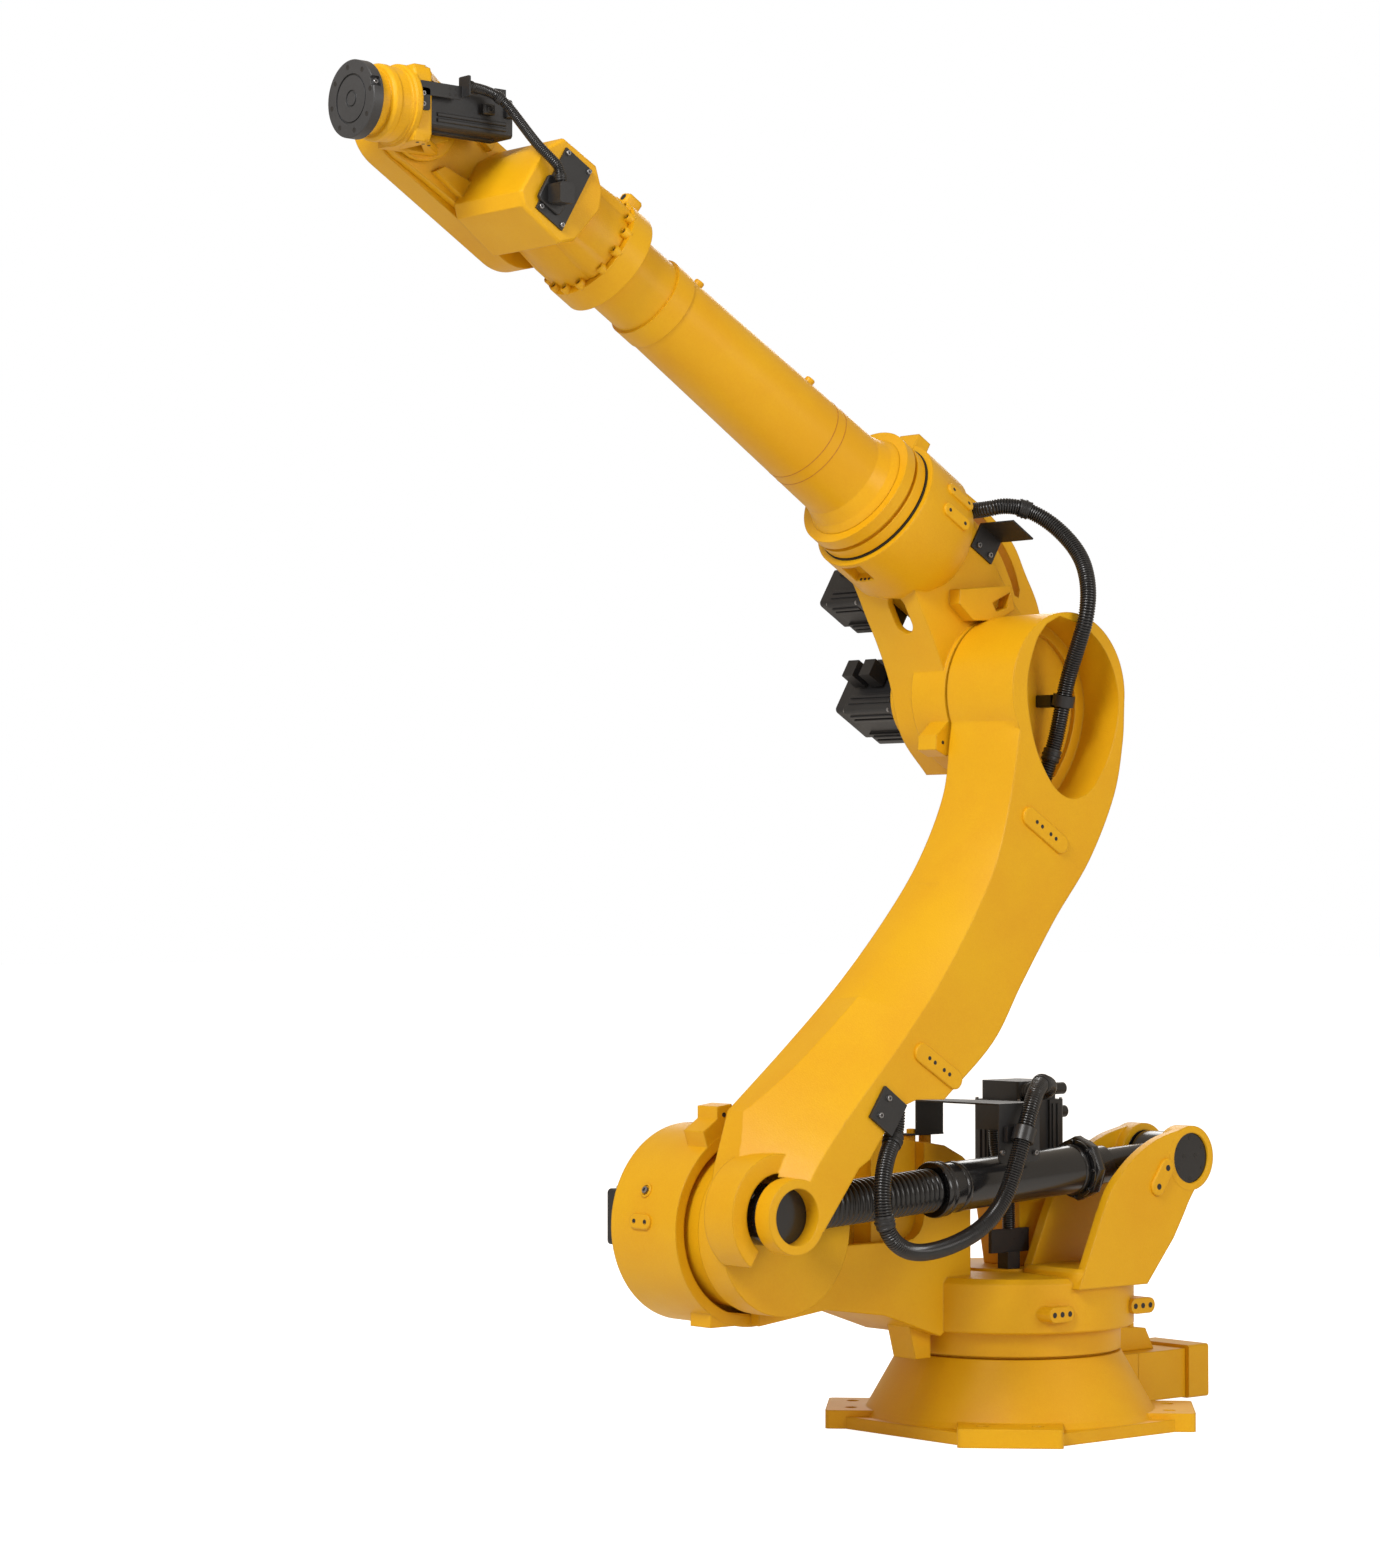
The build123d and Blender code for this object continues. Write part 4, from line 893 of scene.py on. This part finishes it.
# Tool flange: blackened steel to the usual bolt circle, with a centring groove, and a screw set in
# a notch of its rim.
BOLT_CIRCLE = 0.052
flange_steel = coated("flange_steel", (0.040, 0.041, 0.044), (0.028, 0.029, 0.031), 0.46, 0.06,
                      0.0012, 0.00004, 0.3, 0.0008)
flange_back = np.array((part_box("tool_flange")[0].x, AXIS5[1], AXIS5[2]))
flange_side = aimed(Y, Z, 20)
rim_notch = solid("rim_notch", set_at(
    blocky(8, 9, 1.5, [(0, 57), (0, 66)]), (flange_back + X * 0.012, flange_side, X),
))
flange = shaped(solid("flange_plate", set_at(turned([
    (40, 0), (61.5, 0), (62.5, 1), (62.5, 18.6), (61.3, 19.8), (40, 19.8), (39.6, 17), (37.4, 17),
    (37, 19.2), (14.2, 19.2), (13.6, 17), (11.2, 17), (10.6, 19.0),
], 128), (flange_back, X))), [("DIFFERENCE", rim_notch)])
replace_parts(finished(flange, flange_steel, "flange"), "tool_flange")
holes("flange_holes", 4.2, "flange", *[
    (flange_back + X * 0.0198 + aimed(Y, Z, turn) * BOLT_CIRCLE, X) for turn in range(10, 370, 45)
])
screws("flange_screw", 4.2, "flange", (flange_back + X * 0.012 + flange_side * 0.057, flange_side))
# Corrugated conduits: black polyamide hoses with round ribs, each held by a gland at its ends
# and by a clip on the way. They are as long as their routes and carry the motor leads.
conduit = coated("conduit", (0.010, 0.010, 0.011), (0.006, 0.006, 0.007), 0.30, 0.06, 0.0007,
                 0.00002, 0.2, 0.0003, coat=0.25)
RIB_SAMPLES = 4


def route_line(points_mm):
    """Points on the smooth line of order 3 that a hose's route points control, in metres."""
    data = bpy.data.curves.new("route", "CURVE")
    data.dimensions = "3D"
    data.resolution_u = 16
    spline = data.splines.new("NURBS")
    spline.points.add(len(points_mm) - 1)
    spline.points.foreach_set("co", [c for x, y, z in points_mm for c in (x * MM, y * MM, z * MM, 1.0)])
    spline.order_u = 3
    spline.use_endpoint_u = True
    holder = bpy.data.objects.new("route", data)
    bpy.context.scene.collection.objects.link(holder)
    sampled = bpy.data.meshes.new_from_object(holder)
    line = np.empty(len(sampled.vertices) * 3)
    sampled.vertices.foreach_get("co", line)
    bpy.data.objects.remove(holder)
    bpy.data.meshes.remove(sampled)
    return line.reshape(-1, 3)


def runs_along(line):
    """Length along a line up to each of its points."""
    return np.r_[0, np.cumsum(np.linalg.norm(np.diff(line, axis=0), axis=1))]


def rings_along(line, spots, radii, sides):
    """Rings of points square to a line, at lengths along it, each with its own radius."""
    line = line[np.r_[True, np.linalg.norm(np.diff(line, axis=0), axis=1) > 1e-7]]
    run = runs_along(line)
    ahead = np.gradient(line, run, axis=0)
    ahead /= np.linalg.norm(ahead, axis=1)[:, None]
    normal = np.cross(ahead[0], (0.31, 0.17, 0.93))
    normals = []
    for direction in ahead:
        normal = normal - direction * (normal @ direction)
        normal /= np.linalg.norm(normal)
        normals.append(normal)

    def between(values):
        return np.stack([np.interp(spots, run, np.array(values)[:, k]) for k in range(3)], axis=1)

    centre, along, across = between(line), between(ahead), between(normals)
    along /= np.linalg.norm(along, axis=1)[:, None]
    across -= along * (across * along).sum(1)[:, None]
    across /= np.linalg.norm(across, axis=1)[:, None]
    third = np.cross(along, across)
    turn = np.linspace(0, 2 * np.pi, sides, endpoint=False)
    spokes = across[:, None] * np.cos(turn)[None, :, None] + third[:, None] * np.sin(turn)[None, :, None]
    return centre[:, None] + spokes * np.asarray(radii)[:, None, None]


def ribbed_hose(name, points_mm, radius, pitch, depth, sides):
    """Hose along its route, whose radius at the length s is
    radius - depth * (1 - |cos(pi s / pitch)| ** 0.6)."""
    line = route_line(points_mm)
    length = float(runs_along(line)[-1])
    ribs = round(length / pitch)
    spots = np.linspace(0, length, ribs * RIB_SAMPLES + 1)
    wave = np.abs(np.cos(np.pi * spots * ribs / length)) ** 0.6
    hose = solid(name, [rings_along(line, spots, radius - depth * (1 - wave), sides)])
    hose.data.shade_smooth()
    hose.data.materials.append(conduit)
    return hose, line, length


def cuffs(name, line, radius, *targets, half=0.011):
    """Moulded collars round a hose, each where the line passes nearest to a point."""
    run = runs_along(line)
    grids = []
    for target in targets:
        middle = run[np.argmin(np.linalg.norm(line - np.array(target) * MM, axis=1))]
        middle = min(max(middle, half), run[-1] - half)
        steps = np.array((-1, -0.96, -0.7, -0.62, -0.2, -0.12, 0.12, 0.2, 0.62, 0.7, 0.96, 1)) * half
        widths = np.array((0.9, 1.10, 1.16, 1.10, 1.10, 1.2, 1.2, 1.10, 1.10, 1.16, 1.10, 0.9)) * radius
        grids.append(rings_along(line, middle + steps, widths, 32))
    piece = solid(name, grids)
    piece.data.materials.append(plug_plastic)
    return piece


lower_points = (
    (8, 49.3, 601), (8, 92, 601), (36, 138, 612), (88, 180, 624), (142, 214, 624), (184, 237, 590),
    (226, 242, 490), (256, 243, 428), (312, 245, 382), (402, 247, 354), (490, 251, 350), (548, 255, 386),
    (558, 253, 452), (534, 238, 512), (488, 217.5, 554), (488, 217.5, 592),
)
lower_hose, lower_line, lower_length = ribbed_hose(
    "lower_conduit", lower_points, 0.015, 0.0046, 0.0021, 24,
)
lower_cuffs = cuffs("lower_conduit_cuffs", lower_line, 0.015, (550, 254, 410), (505, 226, 545),
                    (10, 70, 601), (120, 200, 618))
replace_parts(lower_hose, "lower_hose")
for piece in (lower_hose, lower_cuffs):
    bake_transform(piece)

elbow_points = (
    (84, 172, 1160), (68, 180, 1212), (60, 188, 1264), (58, 204, 1334), (62, 236, 1396), (64, 260, 1448),
    (52, 252, 1506), (40, 220, 1560), (54, 172, 1612), (86, 134, 1642), (122, 114, 1648), (148, 92, 1640),
    (148, 58.3, 1640),
)
elbow_hose, elbow_line, elbow_length = ribbed_hose(
    "elbow_conduit", elbow_points, 0.0145, 0.0046, 0.0021, 24,
)
elbow_cuffs = cuffs("elbow_conduit_cuffs", elbow_line, 0.0145, (90, 132, 1642), (70, 178, 1200))
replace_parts(elbow_hose, "elbow_hose")
for piece in (elbow_hose, elbow_cuffs):
    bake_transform(piece)

wrist_points = (
    (1286.7, 59.5, 2254), (1250, 59.5, 2254), (1216, 66, 2240), (1196, 88, 2200), (1186, 118, 2162),
    (1170, 134, 2140), (1152, 134, 2126), (1152, 134, 2103.3),
)
wrist_hose, wrist_line, wrist_length = ribbed_hose(
    "wrist_conduit", wrist_points, 0.0085, 0.0032, 0.0013, 20,
)
wrist_cuffs = cuffs("wrist_conduit_cuffs", wrist_line, 0.0085, (1222, 64, 2244), (1283, 59.5, 2254),
                    (1152, 134, 2112), half=0.006)
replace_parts(wrist_hose, "wrist_hose")
for piece in (wrist_hose, wrist_cuffs):
    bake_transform(piece)

riser_points = ((62, 60, 359.3), (62, 60, 404), (68, 62, 450), (82, 46, 492), (82, 46, 534.7))
riser_hose, riser_line, riser_length = ribbed_hose(
    "turret_riser_conduit", riser_points, 0.012, 0.0040, 0.0017, 20,
)
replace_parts(riser_hose, "turret_riser_hose")
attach(riser_hose, "turret")

# Rubber bellows that keep dust off the balancer's rod, clamped to the cap at one end and to the
# rod at the other.
FOLD_PITCH = 0.0118
FOLD_DEPTH = 0.0045
FOLD_SAMPLES = 6
BELLOWS_RADIUS = 0.038
bellows_lo, bellows_hi = (np.array(corner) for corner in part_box("balancer_bellows"))
bellows_half = 0.5 * ((bellows_hi - bellows_lo)[0] - 2 * BELLOWS_RADIUS * abs(SLIDE[2])) / SLIDE[0]
bellows_middle = (bellows_lo + bellows_hi) / 2
bellows_ends = np.array([bellows_middle - SLIDE * bellows_half, bellows_middle + SLIDE * bellows_half])
fold_count = round(2 * bellows_half / FOLD_PITCH)
fold_spots = np.linspace(0, 2 * bellows_half, fold_count * FOLD_SAMPLES + 1)
fold_wave = np.abs(np.sin(np.pi * fold_spots * fold_count / (2 * bellows_half))) ** 0.7
fold_radii = BELLOWS_RADIUS - FOLD_DEPTH * (1 - fold_wave)
bellows = solid("rod_bellows", [rings_along(bellows_ends, fold_spots, fold_radii, 48)])
bellows.data.shade_smooth()
bellows.data.materials.append(conduit)
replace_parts(bellows, "balancer_bellows")
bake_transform(bellows)

# Floor, soft studio light and the camera. The room is white where it is seen straight on, and
# dimmer as a source of light.
FLOOR_HALF = 40.0
floor_mesh = bpy.data.meshes.new("floor")
floor_mesh.from_pydata(
    [(-FLOOR_HALF, -FLOOR_HALF, 0), (FLOOR_HALF, -FLOOR_HALF, 0), (FLOOR_HALF, FLOOR_HALF, 0),
     (-FLOOR_HALF, FLOOR_HALF, 0)], [], [(0, 1, 2, 3)],
)
floor = bpy.data.objects.new("floor", floor_mesh)
bpy.context.scene.collection.objects.link(floor)
floor_paint = bpy.data.materials.new("floor_paint")
floor_paint.use_nodes = True
floor_tree = floor_paint.node_tree
floor_shader = floor_tree.nodes["Principled BSDF"]
floor_shader.inputs["Base Color"].default_value = (0.60, 0.57, 0.53, 1)
floor_shader.inputs["Roughness"].default_value = 0.75
floor_shader.inputs["Emission Color"].default_value = (1, 1, 1, 1)
floor_sight = add(floor_tree, "LightPath")
floor_level = add(floor_tree, "MapRange", {"To Min": 0.18, "To Max": 0.90})
floor_tree.links.new(floor_sight.outputs["Is Camera Ray"], floor_level.inputs["Value"])
floor_tree.links.new(floor_level.outputs[0], floor_shader.inputs["Emission Strength"])
floor_mesh.materials.append(floor_paint)

world = bpy.data.worlds.new("studio")
world.use_nodes = True
room = world.node_tree
backdrop = room.nodes["Background"]
sight = add(room, "LightPath")
tone = add(room, "Mix", data_type="RGBA")
tone.inputs["A"].default_value = (0.50, 0.435, 0.360, 1)
tone.inputs["B"].default_value = (1.0, 1.0, 1.0, 1)
room.links.new(sight.outputs["Is Camera Ray"], tone.inputs["Factor"])
room.links.new(tone.outputs["Result"], backdrop.inputs["Color"])
bpy.context.scene.world = world
bpy.context.scene.view_settings.view_transform = "Standard"
light_target = Vector((0.6, 0.0, 1.1))


def soft_light(name, place, size, power):
    """Square area light that looks at the middle of the arm."""
    data = bpy.data.lights.new(name, "AREA")
    data.shape = "SQUARE"
    data.size = size
    data.energy = power
    light = bpy.data.objects.new(name, data)
    light.location = place
    light.rotation_mode = "QUATERNION"
    light.rotation_quaternion = (light_target - Vector(place)).to_track_quat("-Z", "Y")
    bpy.context.scene.collection.objects.link(light)


soft_light("key", (5.2, 1.6, 4.6), 2.0, 260)
soft_light("side", (-0.6, 5.5, 2.4), 2.2, 85)
soft_light("back", (-3.5, -4.0, 3.6), 2.4, 60)

CAMERA_PLACE = Vector((5.2426, 5.2133, 0.9630))
CAMERA_TARGET = Vector((0.762, 0.0, 1.1636))
camera_data = bpy.data.cameras.new("camera")
camera_data.lens = 94.71
camera_data.sensor_width = 36.0
camera = bpy.data.objects.new("camera", camera_data)
camera.location = CAMERA_PLACE
camera.rotation_mode = "QUATERNION"
camera.rotation_quaternion = (CAMERA_TARGET - CAMERA_PLACE).to_track_quat("-Z", "Y")
bpy.context.scene.collection.objects.link(camera)
bpy.context.scene.camera = camera
